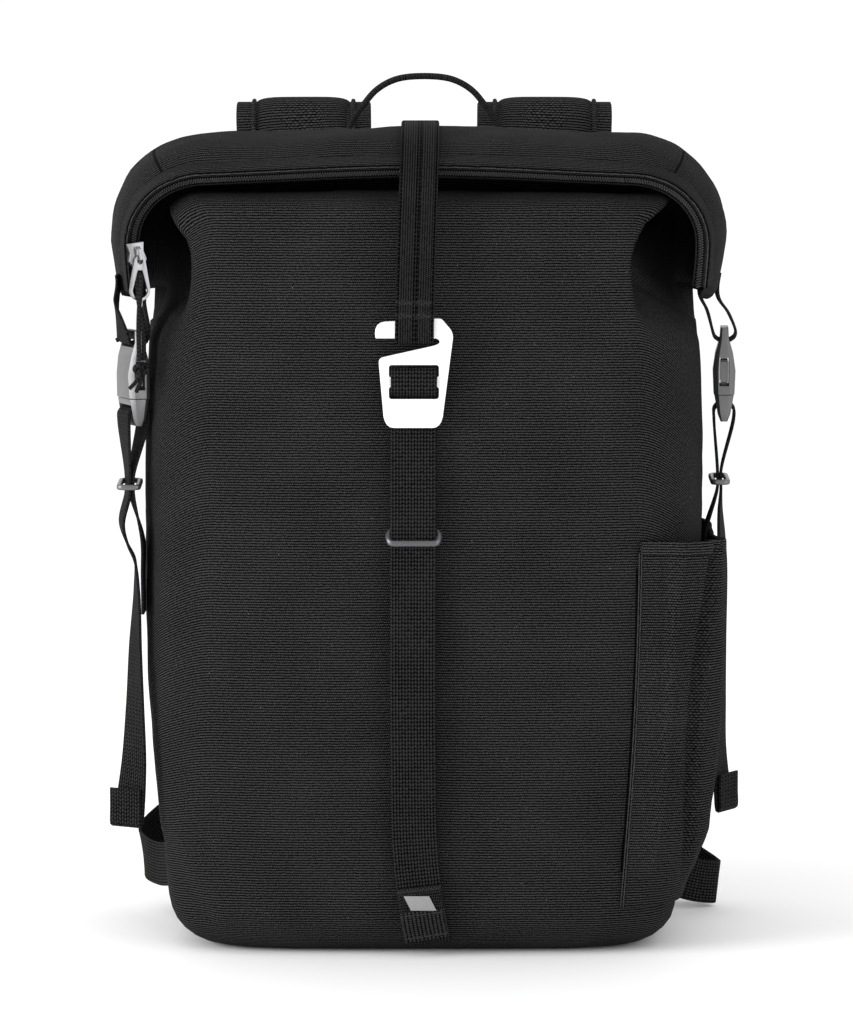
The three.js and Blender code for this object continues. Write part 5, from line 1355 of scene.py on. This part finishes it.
# Below the pad a flat strap goes down through the adjuster's upper slot and up behind it.
ADJUSTER_X, ADJUSTER_Y, UPPER_SLOT, LOOP_HALF, LOOP_WIDTH = 84, PAD_BACK + 28, 158.2, 3.2, 24
loop_line = [(PAD_BACK + 31, 184), (PAD_BACK + 31.2, 172)]
loop_line += [(ADJUSTER_Y + LOOP_HALF * out, UPPER_SLOT + up)
              for out, up in ((1, 2.6), (0.82, 0.2), (0, -0.9), (-0.82, 0.2), (-1, 2.6), (-1, 18))]
loop_rows = smooth_rows([(ADJUSTER_X, y, z, 1, 0, 0) for y, z in loop_line], 0.8)
loop_bm, loop_length = swept(loop_rows, band_section(LOOP_WIDTH, 1.6))
loop_finish = webbing_finish("adjuster_loop", INK, LOOP_WIDTH * MM, columns=14, slant=0.3)
pad_loop = finish_piece("adjuster_loop_right", loop_bm, loop_finish, "webbing", ("shoulder_strap_right",),
                        sharp=SOFT_EDGE)
mirrored(pad_loop, "adjuster_loop_left", ("shoulder_strap_left",))
print("loops through the adjusters:", round(loop_length * 1000), "mm")
left_pad = mirrored(pad, "shoulder_pad_left", ("shoulder_strap_left",))
mirrored(wings, "strap_wings_left", ("shoulder_strap_left",))
for number, piece in enumerate(bindings):
    mirrored(piece, f"binding_left_{number + 1}")
for piece in (pad, left_pad):
    swell = piece.modifiers.new("smooth", "SUBSURF")
    swell.levels = swell.render_levels = 1
print("pads:", len(pad.data.polygons), "faces each")

# %% [markdown]
# ## Floor and light
#
# The picture has a white ground with a soft shadow. The floor is nearly white under a bright, even sky. A
# large soft light from the left models the folds, a weaker one on the right fills them, and a faint one
# behind lifts the upper edges off the ground.

# %% Floor and light
FLOOR_TONE, FLOOR_HALF, SKY_STRENGTH = 0.97, 6, 1.05
floor_finish, floor_shader, _ = new_finish("floor")
floor_shader.inputs["Base Color"].default_value = (FLOOR_TONE, FLOOR_TONE, FLOOR_TONE, 1)
floor_shader.inputs["Roughness"].default_value = 0.8
bm = bmesh.new()
bmesh.ops.create_grid(bm, x_segments=1, y_segments=1, size=FLOOR_HALF)
floor_mesh = bpy.data.meshes.new("floor")
bm.to_mesh(floor_mesh)
bm.free()
floor_mesh.materials.append(floor_finish)
floor = bpy.data.objects.new("floor", floor_mesh)
bpy.context.scene.collection.objects.link(floor)


AIM = Vector((0, 0, 0.22))


def soft_box(name, place, size, power):
    """A rectangular light that faces the bag, with its size in metres and its power in watts."""
    light = bpy.data.lights.new(name, "AREA")
    light.shape, light.size, light.size_y, light.energy = "RECTANGLE", *size, power
    lamp = bpy.data.objects.new(name, light)
    bpy.context.scene.collection.objects.link(lamp)
    lamp.location = place
    lamp.rotation_euler = (AIM - Vector(place)).to_track_quat("-Z", "Y").to_euler()


soft_box("key", (-2.1, -1.0, 0.75), (1.3, 1.3), 48)
soft_box("fill", (1.8, -1.5, 0.6), (1.2, 1.4), 12)
soft_box("back", (0.2, 1.6, 1.6), (2.0, 1.0), 3)
world = bpy.data.worlds.new("studio")
bpy.context.scene.world = world
world.use_nodes = True
sky = world.node_tree.nodes["Background"]
sky.inputs["Color"].default_value = (1, 1, 1, 1)
sky.inputs["Strength"].default_value = SKY_STRENGTH
print("lights:", [light.name for light in bpy.data.lights])
